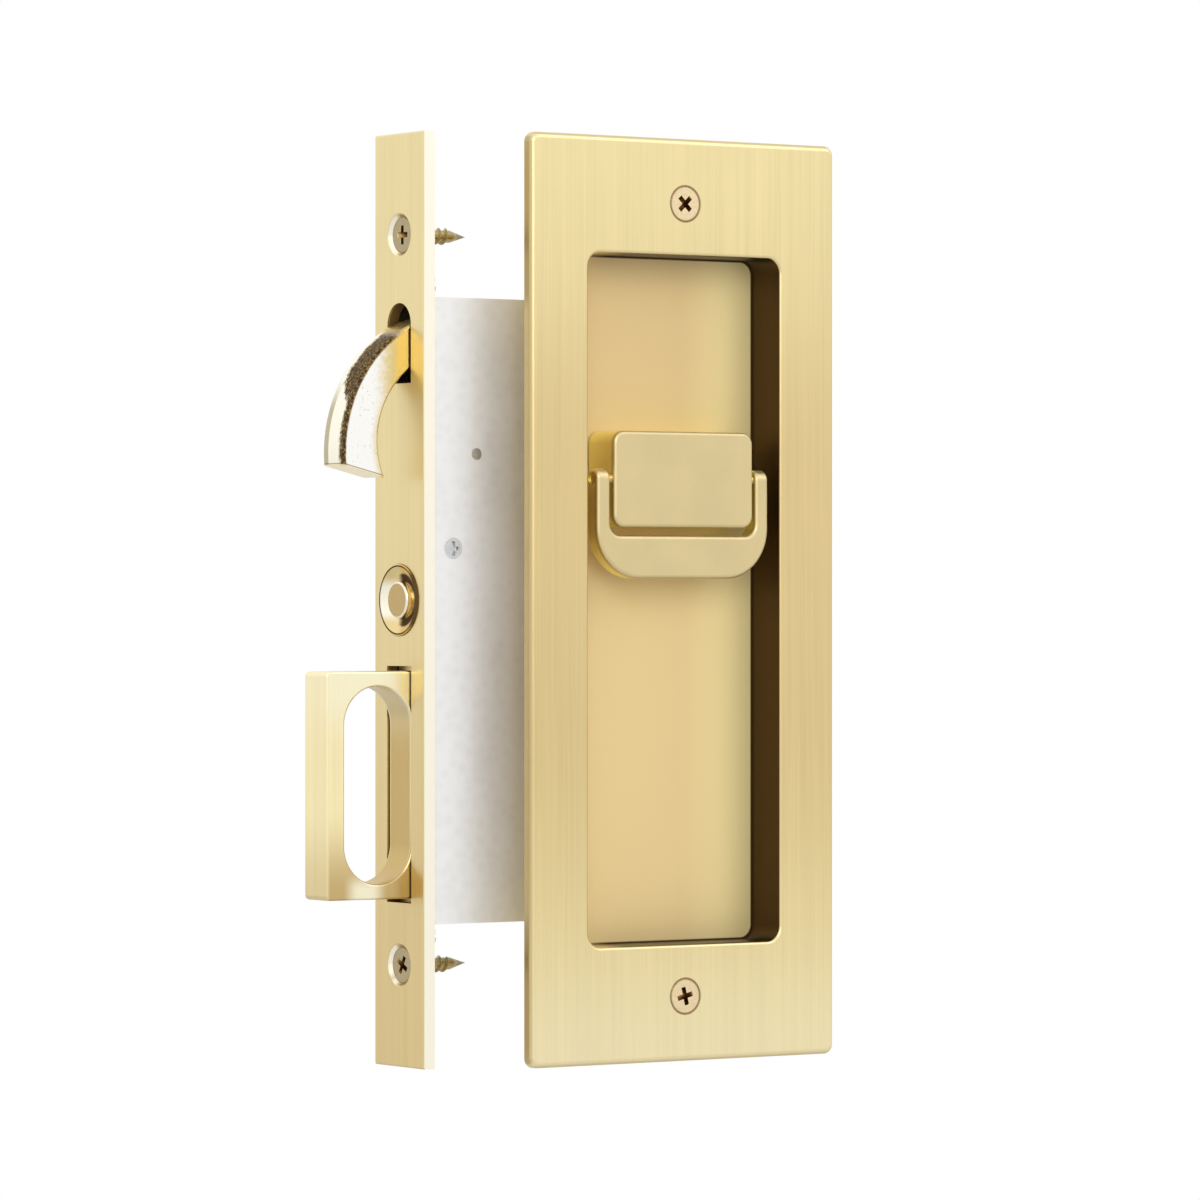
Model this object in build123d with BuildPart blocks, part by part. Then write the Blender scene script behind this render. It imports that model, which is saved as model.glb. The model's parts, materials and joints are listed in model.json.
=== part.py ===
from build123d import *

import os
from math import cos, radians, sin, sqrt

os.makedirs("parts", exist_ok=True)

# Frame: X runs into the door from the back of the edge plate, the viewed door face is at -Y, Z is up.
# Z is zero at the middle of both plates. All sizes are in millimetres.

# Running clearance of shafts, play of pieces that pass each other, and seats that are drawn up tight
FIT = 0.06
PLAY = 0.3
SEAT = 0.02

# Edge plate and its screws
EDGE_HEIGHT = 190.5
EDGE_WIDTH = 19.0
EDGE_THICK = 2.6
EDGE_BREAK = 0.35
EDGE_SCREW_Z = 74.5
DISH_R = 4.5
EDGE_HEAD_R = 3.75
EDGE_SHANK_R = 2.0
EDGE_THREAD_R = 1.8
EDGE_SCREW_LENGTH = 16.0

# Hook bolt: its back is an arc about the pivot, its throat a tighter arc that thickens it to the tip
HOOK_X = 11.2
HOOK_Z = 29.8
HOOK_OUTER_R = 29.6
HOOK_THICK = 8.0
HOOK_ROUND = 0.6
HOOK_ROOT_ANGLE = 78.0
HOOK_TIP_ANGLE = 184.8
THROAT_X = -3.24
THROAT_Z = 2.42
THROAT_R = 18.0
THROAT_ROOT_ANGLE = 70.0
THROAT_TIP_ANGLE = 204.0
WEB_R = 22.4
WEB_ROOT_ANGLE = 82.0
WEB_ANGLE = 30.0
HOOK_EYE_R = 5.4
HOOK_PIN_R = 3.0
HOOK_SWING = 70.0
SLOT_RISE = 3.4
SLOT_DROP = 0.5
SLOT_SIDE = 0.5

# Crank, link and pins, alike at the hub and at the hook
CRANK_R = 12.0
CRANK_ANGLE = -57.0
CRANK_END_R = 3.2
LINK_PIN_R = 2.0
LINK_THICK = 2.0
LINK_WIDTH = 4.6
LINK_GAP = 0.2

# Edge pull, its rail, rod and spring
PULL_Z = -37.6
PULL_HEIGHT = 46.3
PULL_THICK = 8.5
PULL_OUT = 20.0
PULL_ROUND = 0.45
PULL_CORNER = 1.0
PULL_SLOT_END = 1.0
PULL_SLOT_SIDE = 0.4
PULL_BAR = 4.4
FINGER_WIDTH = 15.9
FINGER_HEIGHT = 40.2
WEB_THICK = 4.0
LUG_HEIGHT = 2.0
RAIL_LENGTH = 24.0
RAIL_HEIGHT = 7.9
RAIL_THICK = 5.0
NOTCH_LENGTH = 5.0
NOTCH_DEPTH = 2.4
ROD_R = 2.5
ROD_SPIGOT_R = 2.0
ROD_SPIGOT = 4.5
ROD_GUIDE_X = 38.0
ROD_OVERRUN = 5.0
PULL_SPRING_R = 4.0
PULL_WIRE_R = 0.5
PULL_COILS = 7

# Release button, its bushing and its spring
BUTTON_Z = 0.0
BUTTON_R = 3.8
BUTTON_EDGE = 0.5
BUTTON_PROUD = 0.55
BUTTON_TRAVEL = 2.5
COLLAR_R = 4.8
COLLAR_THICK = 1.2
STEM_R = 3.0
BUSHING_R = 6.6
BUSHING_TAIL = 0.9
FLANGE_R = 7.45
FLANGE_PROUD = 0.4
BOWL_R = 7.0
BOWL_DEPTH = 1.0
GUIDE_X = 10.0
BUTTON_WIRE_R = 0.3
BUTTON_COILS = 5

# Catch, lifted by a pin of the button in a slot at 45 degrees
CATCH_THICK = 3.0
CATCH_DROP = 1.5
CATCH_TOP = 11.5
CATCH_FRONT_WIDTH = 7.7
CATCH_FRONT_DROP = 5.2
CATCH_LEG_WIDTH = 5.8
CAM_PIN_R = 0.9
CAM_PIN_INSET = 3.5
FORK_WALL = 0.8
NOSE_WIDTH = 4.0
NOSE_HEIGHT = 2.0
UPPER_POST_Z = 6.5
LOWER_POST_Z = -3.2
POST_NECK_R = 1.5
POST_BASE_R = 2.3
POST_HEAD = 1.0
SPIGOT_R = 1.2

# Case, spacers, brackets and small screws
CASE_WALL = 1.2
CASE_THICK = 15.6
CASE_ROOM = 1.0
CASE_BEHIND_HUB = 19.2
CASE_CORNER = 2.5
EAR_HEIGHT = 5.0
EAR_SCREW_Y = 4.0
SMALL_SCREW_R = 1.25
SMALL_HEAD_R = 2.2
SMALL_HEAD = 1.2
EAR_SCREW_BITE = 1.6
COVER_SCREW_BITE = 5.0
SPACER_R = 2.6
BRACKET = 1.2
BRACKET_FOOT = 7.0
BRACKET_HEIGHT = 10.0

# Hub, spindle and leaf springs
BACKSET = 57.15
TURN_Z = 22.0
HUB_R = 5.8
CAM_R = 10.0
CAM_FLAT = 9.0
SQUARE = 6.0
SQUARE_FIT = 0.1
LEAF = 0.6
LEAF_WIDTH = 3.0
LEAF_POST_R = 2.3
LEAF_TAIL = 3.6
CATCH_LEAF_REACH = 9.0

# Flush pull and its screws
FACE_HEIGHT = 190.5
FACE_WIDTH = 76.2
FACE_THICK = 2.6
FACE_CORNER = 2.0
FACE_ROUND = 1.2
RECESS_HEIGHT = 142.2
RECESS_WIDTH = 48.0
RECESS_DEPTH = 10.1
RECESS_CORNER = 3.0
RECESS_ROUND = 0.7
CUP_WALL = 1.8
CUP_FLOOR = 2.2
FACE_SCREW_Z = 81.8
FACE_HEAD_R = 3.7
FACE_SHANK_R = 1.9
FACE_THREAD_R = 1.7
FACE_SCREW_LENGTH = 19.0

# Turn: boss with its journal and ring, and the folding bail
BOSS_WIDTH = 34.8
BOSS_HEIGHT = 19.8
BOSS_RISE = 2.85
BOSS_CORNER = 2.5
BOSS_ROUND = 0.7
BOSS_SUNK = 0.3
JOURNAL_R = 5.5
JOURNAL_TAIL = 0.5
SOCKET_DEPTH = 4.0
RING_THICK = 0.8
RING_R = 7.5
RING_ROOM = 1.0
GROOVE_R = 4.9
BAIL_WIDTH = 43.0
BAIL_ARM = 3.3
BAIL_BAR = 8.9
BAIL_DROP = 17.6
BAIL_CORNER = 10.5
BAIL_THICK = 4.2
BAIL_SUNK = 0.5
BAIL_ROUND = 0.8
BAIL_PIN_Z = 2.9
BAIL_PIN_R = 1.25

# Worked out from the above
front_x = -EDGE_THICK
turn_x = front_x + BACKSET
case_half = CASE_THICK / 2
inner_half = case_half - CASE_WALL
case_depth = turn_x + CASE_BEHIND_HUB
face_out = case_half + CUP_FLOOR + RECESS_DEPTH
floor_out = case_half + CUP_FLOOR

# The slot clears the back of the hook above, and below it the corner of the throat's tip as it swings in
tip_dx = THROAT_X + THROAT_R * cos(radians(THROAT_TIP_ANGLE))
tip_dz = THROAT_Z + THROAT_R * sin(radians(THROAT_TIP_ANGLE))
tip_r = sqrt(tip_dx**2 + tip_dz**2)
hook_slot_width = HOOK_THICK + 2 * SLOT_SIDE
hook_slot_top = HOOK_Z + sqrt(HOOK_OUTER_R**2 - HOOK_X**2) + SLOT_RISE
hook_slot_bottom = HOOK_Z + sqrt(tip_r**2 - (HOOK_X + EDGE_THICK) ** 2) - SLOT_DROP
hook_arch_z = hook_slot_top - hook_slot_width / 2

pull_front = front_x - PULL_OUT
pull_slot_height = PULL_HEIGHT + 2 * PULL_SLOT_END
lug_top = pull_slot_height / 2 + LUG_HEIGHT
rail_start = WEB_THICK + NOTCH_LENGTH
rail_end = rail_start + RAIL_LENGTH
finger_x = pull_front + PULL_BAR + FINGER_WIDTH / 2

case_top = HOOK_Z + HOOK_OUTER_R + CASE_ROOM + CASE_WALL
case_bottom = PULL_Z - lug_top - CASE_ROOM - CASE_WALL
case_height = case_top - case_bottom
ear_places = [
    (EAR_SCREW_Y, case_top + EAR_HEIGHT / 2),
    (-EAR_SCREW_Y, case_top + EAR_HEIGHT / 2),
    (EAR_SCREW_Y, case_bottom - EAR_HEIGHT / 2),
    (-EAR_SCREW_Y, case_bottom - EAR_HEIGHT / 2),
]

crank_dx = CRANK_R * cos(radians(CRANK_ANGLE))
crank_dz = CRANK_R * sin(radians(CRANK_ANGLE))
link_dx = HOOK_X - turn_x
link_dz = HOOK_Z - TURN_Z
link_near = HOOK_THICK / 2 + LINK_GAP
pin_length = HOOK_THICK + 2 * LINK_GAP + LINK_THICK

# The nose stands where the notch arrives when the pull is in
nose_front = WEB_THICK + PULL_OUT + (NOTCH_LENGTH - NOSE_WIDTH) / 2
nose_back = nose_front + NOSE_WIDTH
nose_bottom = PULL_Z + lug_top + PLAY
leg_front = nose_back - CATCH_LEG_WIDTH
catch_front = leg_front - CATCH_FRONT_WIDTH
catch_top = BUTTON_Z + CATCH_TOP
post_x = nose_back - CATCH_LEG_WIDTH / 2
cam_pin_x = catch_front + CAM_PIN_INSET
collar_front = BUSHING_TAIL + CATCH_DROP + PLAY
collar_back = collar_front + COLLAR_THICK
fork_start = catch_front - BUTTON_TRAVEL - PLAY
fork_end = cam_pin_x + CAM_PIN_R + FORK_WALL

detent_z = TURN_Z + CAM_FLAT + FIT
detent_post_x = turn_x + CAM_R + LEAF_POST_R + 2 * PLAY
catch_leaf_z = catch_top + FIT
catch_leaf_post_x = nose_back + CATCH_LEAF_REACH

spacer_places = [
    (SPACER_R + 3, BUTTON_Z + 10.5),
    (turn_x - 9, case_top - 7),
    (case_depth - 7.5, BUTTON_Z - 6),
    (PULL_OUT + WEB_THICK + 12, case_bottom + 6.5),
]
catch_places = [(post_x, BUTTON_Z + UPPER_POST_Z), (post_x, BUTTON_Z + LOWER_POST_Z)]
leaf_places = [
    (detent_post_x, detent_z + LEAF / 2),
    (catch_leaf_post_x, catch_leaf_z + LEAF / 2),
]

# Planes: out of the door edge, out of the door face, and one at each pivot
EDGE = Plane(origin=(front_x, 0, 0), x_dir=(0, -1, 0), z_dir=(-1, 0, 0))
SEATING = Plane(origin=(0, 0, 0), x_dir=(0, -1, 0), z_dir=(-1, 0, 0))
SIDE = Plane.XZ
FACE = Plane(origin=(turn_x, -face_out, 0), x_dir=(1, 0, 0), z_dir=(0, -1, 0))
HOOK = Plane(origin=(HOOK_X, 0, HOOK_Z), x_dir=(1, 0, 0), z_dir=(0, -1, 0))
HUB = Plane(origin=(turn_x, 0, TURN_Z), x_dir=(1, 0, 0), z_dir=(0, -1, 0))
PULL = Plane(origin=(0, 0, PULL_Z), x_dir=(1, 0, 0), z_dir=(0, -1, 0))
BUTTON = Plane(origin=(0, 0, BUTTON_Z), x_dir=(1, 0, 0), z_dir=(0, -1, 0))
button_axis = Axis((0, 0, BUTTON_Z), (1, 0, 0))
pull_axis = Axis((0, 0, PULL_Z), (1, 0, 0))

# Edge plate, with the dishes of its screws and the blind holes that hold the case
with BuildPart(EDGE) as edge_plate:
    with BuildSketch(EDGE):
        Rectangle(EDGE_WIDTH, EDGE_HEIGHT)
        with Locations((0, hook_arch_z)):
            Circle(hook_slot_width / 2, mode=Mode.SUBTRACT)
        with Locations((0, (hook_arch_z + hook_slot_bottom) / 2)):
            Rectangle(hook_slot_width, hook_arch_z - hook_slot_bottom, mode=Mode.SUBTRACT)
        with Locations((0, PULL_Z)):
            Rectangle(PULL_THICK + 2 * PULL_SLOT_SIDE, pull_slot_height, mode=Mode.SUBTRACT)
        with Locations((0, BUTTON_Z)):
            Circle(BUSHING_R + SEAT, mode=Mode.SUBTRACT)
    extrude(amount=-EDGE_THICK)
    chamfer(edge_plate.faces().sort_by(Axis.X)[0].outer_wire().edges(), EDGE_BREAK)
    with Locations((0, EDGE_SCREW_Z), (0, -EDGE_SCREW_Z)):
        CounterSinkHole(EDGE_SHANK_R + FIT, DISH_R, counter_sink_angle=90)
    with BuildSketch(SEATING):
        with Locations(*ear_places):
            Circle(SMALL_SCREW_R + SEAT)
    extrude(amount=EAR_SCREW_BITE + PLAY, mode=Mode.SUBTRACT)
edge_plate.part.label = "edge_plate"
export_step(edge_plate.part, "parts/edge_plate.step")

# Wood screws of the edge plate, sunk in their dishes
edge_head_x = DISH_R - EDGE_HEAD_R
edge_neck_x = DISH_R - EDGE_SHANK_R
with BuildPart() as edge_plate_screws:
    for screw_z in (EDGE_SCREW_Z, -EDGE_SCREW_Z):
        with BuildSketch(Plane(origin=(front_x, 0, screw_z), x_dir=(1, 0, 0), z_dir=(0, -1, 0))):
            with BuildLine():
                Polyline(
                    (edge_head_x - SEAT, 0),
                    (edge_head_x - SEAT, EDGE_HEAD_R - SEAT),
                    (edge_neck_x - SEAT, EDGE_SHANK_R - SEAT),
                    (EDGE_THICK + SEAT, EDGE_SHANK_R - SEAT),
                    (EDGE_THICK + SEAT, EDGE_THREAD_R),
                    (EDGE_SCREW_LENGTH - 2 * EDGE_THREAD_R, EDGE_THREAD_R),
                    (EDGE_SCREW_LENGTH, 0),
                    close=True,
                )
            make_face()
        revolve(axis=Axis((0, 0, screw_z), (1, 0, 0)))
        with BuildSketch(EDGE.offset(SEAT - edge_head_x)):
            with Locations((0, screw_z)):
                Rectangle(EDGE_HEAD_R * 1.3, EDGE_HEAD_R * 0.3)
                Rectangle(EDGE_HEAD_R * 0.3, EDGE_HEAD_R * 1.3)
        extrude(amount=-EDGE_HEAD_R * 0.4, mode=Mode.SUBTRACT)
edge_plate_screws.part.label = "edge_plate_screws"
export_step(edge_plate_screws.part, "parts/edge_plate_screws.step")

# Hook bolt: arc, web, eye and tail in one casting
with BuildPart() as hook_bolt:
    with BuildSketch(HOOK):
        with BuildLine():
            back_sweep = HOOK_TIP_ANGLE - HOOK_ROOT_ANGLE
            throat_sweep = THROAT_TIP_ANGLE - THROAT_ROOT_ANGLE
            back = CenterArc((0, 0), HOOK_OUTER_R, HOOK_ROOT_ANGLE, back_sweep)
            throat = CenterArc((THROAT_X, THROAT_Z), THROAT_R, THROAT_ROOT_ANGLE, throat_sweep)
            Line(back @ 1, throat @ 1)
            Line(back @ 0, throat @ 0)
        make_face()
    extrude(amount=HOOK_THICK / 2, both=True)
    fillet(hook_bolt.edges().filter_by(GeomType.CIRCLE), HOOK_ROUND)
    with BuildSketch(HOOK):
        with BuildLine():
            rim = CenterArc((0, 0), WEB_R, WEB_ROOT_ANGLE, WEB_ANGLE)
            Line((0, 0), rim @ 0)
            Line((0, 0), rim @ 1)
        make_face()
    extrude(amount=HOOK_THICK * 0.35, both=True)
    with BuildSketch(HOOK):
        Circle(HOOK_EYE_R)
        with Locations((crank_dx, crank_dz)):
            Circle(CRANK_END_R)
        make_hull()
    extrude(amount=HOOK_THICK / 2, both=True)
    with BuildSketch(HOOK):
        Circle(HOOK_PIN_R + FIT)
        with Locations((crank_dx, crank_dz)):
            Circle(LINK_PIN_R + SEAT)
    extrude(amount=HOOK_THICK, both=True, mode=Mode.SUBTRACT)
hook_bolt.part.label = "hook_bolt"
export_step(hook_bolt.part, "parts/hook_bolt.step")

# Pivot of the hook, riveted into both walls of the case
with BuildPart() as hook_pivot:
    with BuildSketch(HOOK):
        Circle(HOOK_PIN_R)
    extrude(amount=inner_half - SEAT, both=True)
    with BuildSketch(HOOK):
        Circle(SPIGOT_R)
    extrude(amount=case_half, both=True)
hook_pivot.part.label = "hook_pivot"
export_step(hook_pivot.part, "parts/hook_pivot.step")

# Pins that join the link to the hook's tail and to the hub's crank
with BuildPart() as tail_pin:
    with BuildSketch(HOOK.offset(-HOOK_THICK / 2)):
        with Locations((crank_dx, crank_dz)):
            Circle(LINK_PIN_R)
    extrude(amount=pin_length)
tail_pin.part.label = "tail_pin"
export_step(tail_pin.part, "parts/tail_pin.step")

with BuildPart() as crank_pin:
    with BuildSketch(HUB.offset(-HOOK_THICK / 2)):
        with Locations((crank_dx, crank_dz)):
            Circle(LINK_PIN_R)
    extrude(amount=pin_length)
crank_pin.part.label = "crank_pin"
export_step(crank_pin.part, "parts/crank_pin.step")

# Link, as long as the hub is from the hook's pivot, so that the two cranks stay parallel
link_length = sqrt(link_dx**2 + link_dz**2)
LINK = Plane(
    origin=(turn_x + crank_dx + link_dx / 2, -link_near, TURN_Z + crank_dz + link_dz / 2),
    x_dir=(link_dx, 0, link_dz),
    z_dir=(0, -1, 0),
)
with BuildPart(LINK) as drive_link:
    with BuildSketch(LINK):
        Rectangle(link_length, LINK_WIDTH)
        with GridLocations(link_length, 0, 2, 1):
            Circle(CRANK_END_R)
            Circle(LINK_PIN_R + FIT, mode=Mode.SUBTRACT)
    extrude(amount=LINK_THICK)
drive_link.part.label = "drive_link"
export_step(drive_link.part, "parts/drive_link.step")

# Hub: crank and detent cam on a boss that turns in the walls of the case
with BuildPart(HUB) as hub:
    with BuildSketch(HUB):
        Circle(CAM_R)
        for flat_angle in (90, 90 + HOOK_SWING):
            flat_x = (CAM_FLAT + CAM_R) * cos(radians(flat_angle))
            flat_z = (CAM_FLAT + CAM_R) * sin(radians(flat_angle))
            with Locations((flat_x, flat_z)):
                Rectangle(2 * CAM_R, 2 * CAM_R, rotation=flat_angle, mode=Mode.SUBTRACT)
    extrude(amount=LEAF_WIDTH / 2 + PLAY, both=True)
    with BuildSketch(HUB):
        Circle(HUB_R)
        with Locations((crank_dx, crank_dz)):
            Circle(CRANK_END_R)
        make_hull()
    extrude(amount=HOOK_THICK / 2, both=True)
    with BuildSketch(HUB.offset(-case_half)):
        Circle(HUB_R)
    extrude(amount=CASE_THICK - JOURNAL_TAIL - SQUARE_FIT)
    with BuildSketch(HUB):
        Rectangle(SQUARE + 2 * SQUARE_FIT, SQUARE + 2 * SQUARE_FIT)
        with Locations((crank_dx, crank_dz)):
            Circle(LINK_PIN_R + SEAT)
    extrude(amount=CASE_THICK, both=True, mode=Mode.SUBTRACT)
hub.part.label = "hub"
export_step(hub.part, "parts/hub.step")

# Square spindle from the boss through the hub
with BuildPart() as spindle:
    with BuildSketch(HUB.offset(-case_half)):
        Rectangle(SQUARE, SQUARE)
    extrude(amount=case_half + floor_out + SOCKET_DEPTH)
    chamfer(spindle.faces().sort_by(Axis.Y)[-1].edges(), 0.5)
spindle.part.label = "spindle"
export_step(spindle.part, "parts/spindle.step")

# Leaf spring that drops on the hub's flats
with BuildPart() as detent_spring:
    with BuildSketch(SIDE):
        with Locations(((turn_x - CAM_R + detent_post_x + LEAF_TAIL) / 2, detent_z + LEAF / 2)):
            Rectangle(detent_post_x + LEAF_TAIL - turn_x + CAM_R, LEAF)
    extrude(amount=LEAF_WIDTH / 2, both=True)
detent_spring.part.label = "detent_spring"
export_step(detent_spring.part, "parts/detent_spring.step")

# Leaf spring that holds the catch down
with BuildPart() as catch_spring:
    with BuildSketch(SIDE):
        with Locations(((nose_front + catch_leaf_post_x + LEAF_TAIL) / 2, catch_leaf_z + LEAF / 2)):
            Rectangle(catch_leaf_post_x + LEAF_TAIL - nose_front, LEAF)
    extrude(amount=LEAF_WIDTH / 2, both=True)
catch_spring.part.label = "catch_spring"
export_step(catch_spring.part, "parts/catch_spring.step")

# Posts that grip the leaf springs in a cross slot, riveted into the back wall
with BuildPart() as spring_posts:
    with BuildSketch(SIDE.offset(-inner_half + SEAT)):
        with Locations(*leaf_places):
            Circle(LEAF_POST_R)
    extrude(amount=inner_half + LEAF_WIDTH / 2 - SEAT)
    with BuildSketch(SIDE.offset(-case_half)):
        with Locations(*leaf_places):
            Circle(SPIGOT_R)
    extrude(amount=CASE_WALL + LEAF)
    with BuildSketch(SIDE.offset(LEAF_WIDTH / 2)):
        with Locations(*leaf_places):
            Rectangle(3 * LEAF_POST_R, LEAF + 2 * SEAT)
    extrude(amount=-LEAF_WIDTH - SEAT, mode=Mode.SUBTRACT)
spring_posts.part.label = "spring_posts"
export_step(spring_posts.part, "parts/spring_posts.step")

# Edge pull: finger loop, stop lugs behind the plate, and the rail that the catch rides on
with BuildPart(PULL) as edge_pull:
    with BuildSketch(PULL) as loop:
        with Locations(((pull_front + WEB_THICK) / 2, 0)):
            Rectangle(WEB_THICK - pull_front, PULL_HEIGHT)
        fillet(loop.vertices().sort_by(Axis.X)[:2], PULL_CORNER)
        with Locations((finger_x, 0)):
            SlotOverall(FINGER_HEIGHT, FINGER_WIDTH, rotation=90, mode=Mode.SUBTRACT)
    extrude(amount=PULL_THICK / 2, both=True)
    fillet(edge_pull.edges().filter_by(Axis.Y, reverse=True), PULL_ROUND)
    with BuildSketch(PULL):
        with Locations(((WEB_THICK + SEAT) / 2, 0)):
            Rectangle(WEB_THICK - SEAT, 2 * lug_top)
    extrude(amount=PULL_THICK / 2, both=True)
    with BuildSketch(PULL):
        with Locations((rail_end / 2, lug_top - RAIL_HEIGHT / 2)):
            Rectangle(rail_end - 2 * SEAT, RAIL_HEIGHT)
        with Locations((WEB_THICK + NOTCH_LENGTH / 2, lug_top - NOTCH_DEPTH / 2)):
            Rectangle(NOTCH_LENGTH, NOTCH_DEPTH, mode=Mode.SUBTRACT)
    extrude(amount=RAIL_THICK / 2, both=True)
    with BuildSketch(Plane(origin=(WEB_THICK, 0, PULL_Z), x_dir=(0, 1, 0), z_dir=(1, 0, 0))):
        Circle(ROD_SPIGOT_R + SEAT)
    extrude(amount=-ROD_SPIGOT, mode=Mode.SUBTRACT)
edge_pull.part.label = "edge_pull"
export_step(edge_pull.part, "parts/edge_pull.step")

# Rod that guides the pull and carries its spring
rod_end = ROD_GUIDE_X + BRACKET + ROD_OVERRUN
with BuildPart() as pull_rod:
    with BuildSketch(PULL):
        with BuildLine():
            Polyline(
                (WEB_THICK - ROD_SPIGOT + PLAY, 0),
                (WEB_THICK - ROD_SPIGOT + PLAY, ROD_SPIGOT_R),
                (WEB_THICK + SEAT, ROD_SPIGOT_R),
                (WEB_THICK + SEAT, ROD_R),
                (rod_end - 1, ROD_R),
                (rod_end, ROD_R - 1),
                (rod_end, 0),
                close=True,
            )
        make_face()
    revolve(axis=pull_axis)
pull_rod.part.label = "pull_rod"
export_step(pull_rod.part, "parts/pull_rod.step")

# Coil spring that pushes the pull out
pull_spring_start = WEB_THICK + SEAT + PULL_WIRE_R
pull_spring_length = ROD_GUIDE_X - SEAT - PULL_WIRE_R - pull_spring_start
with BuildPart() as pull_spring:
    with BuildLine() as pull_coil:
        Helix(
            pitch=pull_spring_length / PULL_COILS,
            height=pull_spring_length,
            radius=PULL_SPRING_R,
            center=(pull_spring_start, 0, PULL_Z),
            direction=(1, 0, 0),
        )
    with BuildSketch(Plane(origin=pull_coil.line @ 0, z_dir=pull_coil.line % 0)):
        Circle(PULL_WIRE_R)
    sweep(is_frenet=True)
pull_spring.part.label = "pull_spring"
export_step(pull_spring.part, "parts/pull_spring.step")

# Bracket that guides the rod, on the back wall
with BuildPart() as rod_guide:
    with BuildSketch(Plane.XY.offset(PULL_Z)):
        with Locations((ROD_GUIDE_X + BRACKET / 2, (inner_half - SEAT - PULL_SPRING_R - 1) / 2)):
            Rectangle(BRACKET, inner_half - SEAT + PULL_SPRING_R + 1)
        with Locations((ROD_GUIDE_X + BRACKET_FOOT / 2, inner_half - SEAT - BRACKET / 2)):
            Rectangle(BRACKET_FOOT, BRACKET)
    extrude(amount=BRACKET_HEIGHT / 2, both=True)
    with BuildSketch(Plane.YZ.offset(ROD_GUIDE_X)):
        with Locations((0, PULL_Z)):
            Circle(ROD_R + FIT)
    extrude(amount=BRACKET, mode=Mode.SUBTRACT)
rod_guide.part.label = "rod_guide"
export_step(rod_guide.part, "parts/rod_guide.step")

# Dished bushing round the button
with BuildPart() as button_bushing:
    with BuildSketch(BUTTON):
        with BuildLine():
            bore_r = BUTTON_R + FIT
            lip_x = front_x - FLANGE_PROUD
            bowl_x = lip_x + BOWL_DEPTH
            body = Polyline(
                (bowl_x, bore_r),
                (BUSHING_TAIL, bore_r),
                (BUSHING_TAIL, BUSHING_R),
                (front_x - SEAT, BUSHING_R),
                (front_x - SEAT, FLANGE_R),
            )
            lip_mid = (front_x - FLANGE_PROUD * 0.85, FLANGE_R - (FLANGE_R - BOWL_R) * 0.35)
            ThreePointArc(body @ 1, lip_mid, (lip_x, BOWL_R))
            bowl_mid = (lip_x + BOWL_DEPTH * 0.7, (BOWL_R + bore_r) / 2)
            ThreePointArc((lip_x, BOWL_R), bowl_mid, (bowl_x, bore_r))
        make_face()
    revolve(axis=button_axis)
button_bushing.part.label = "button_bushing"
export_step(button_bushing.part, "parts/button_bushing.step")

# Button: plunger, collar, and a forked stem that straddles the catch
with BuildPart() as release_button:
    with BuildSketch(BUTTON):
        with BuildLine():
            Polyline(
                (front_x - BUTTON_PROUD, 0),
                (front_x - BUTTON_PROUD, BUTTON_R),
                (collar_front, BUTTON_R),
                (collar_front, COLLAR_R),
                (collar_back, COLLAR_R),
                (collar_back, STEM_R),
                (fork_end, STEM_R),
                (fork_end, 0),
                close=True,
            )
        make_face()
    revolve(axis=button_axis)
    fillet(release_button.edges().filter_by(GeomType.CIRCLE).sort_by(Axis.X)[0], BUTTON_EDGE)
    with BuildSketch(BUTTON):
        with Locations(((fork_start + fork_end) / 2, 0)):
            Rectangle(fork_end - fork_start + PLAY, 3 * STEM_R)
    extrude(amount=CATCH_THICK / 2 + PLAY / 3, both=True, mode=Mode.SUBTRACT)
    with BuildSketch(BUTTON):
        with Locations((cam_pin_x, 0)):
            Circle(CAM_PIN_R + SEAT)
    extrude(amount=2 * STEM_R, both=True, mode=Mode.SUBTRACT)
release_button.part.label = "release_button"
export_step(release_button.part, "parts/release_button.step")

# Cross pin of the button's fork
with BuildPart() as cam_pin:
    with BuildSketch(BUTTON):
        with Locations((cam_pin_x, 0)):
            Circle(CAM_PIN_R)
    extrude(amount=STEM_R * 0.9, both=True)
cam_pin.part.label = "cam_pin"
export_step(cam_pin.part, "parts/cam_pin.step")

# Coil spring that returns the button
button_spring_start = collar_back + SEAT + BUTTON_WIRE_R
button_spring_length = GUIDE_X - SEAT - BUTTON_WIRE_R - button_spring_start
with BuildPart() as button_spring:
    with BuildLine() as button_coil:
        Helix(
            pitch=button_spring_length / BUTTON_COILS,
            height=button_spring_length,
            radius=STEM_R + PLAY + BUTTON_WIRE_R,
            center=(button_spring_start, 0, BUTTON_Z),
            direction=(1, 0, 0),
        )
    with BuildSketch(Plane(origin=button_coil.line @ 0, z_dir=button_coil.line % 0)):
        Circle(BUTTON_WIRE_R)
    sweep(is_frenet=True)
button_spring.part.label = "button_spring"
export_step(button_spring.part, "parts/button_spring.step")

# Bracket that guides the button's stem, on the back wall
with BuildPart() as button_guide:
    with BuildSketch(Plane.XY.offset(BUTTON_Z)):
        with Locations((GUIDE_X + BRACKET / 2, (inner_half - SEAT - STEM_R - 2) / 2)):
            Rectangle(BRACKET, inner_half - SEAT + STEM_R + 2)
        with Locations((GUIDE_X + BRACKET_FOOT / 2, inner_half - SEAT - BRACKET / 2)):
            Rectangle(BRACKET_FOOT, BRACKET)
    extrude(amount=BRACKET_HEIGHT / 2, both=True)
    with BuildSketch(Plane.YZ.offset(GUIDE_X)):
        with Locations((0, BUTTON_Z)):
            Circle(STEM_R + FIT)
    extrude(amount=BRACKET, mode=Mode.SUBTRACT)
button_guide.part.label = "button_guide"
export_step(button_guide.part, "parts/button_guide.step")

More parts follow.
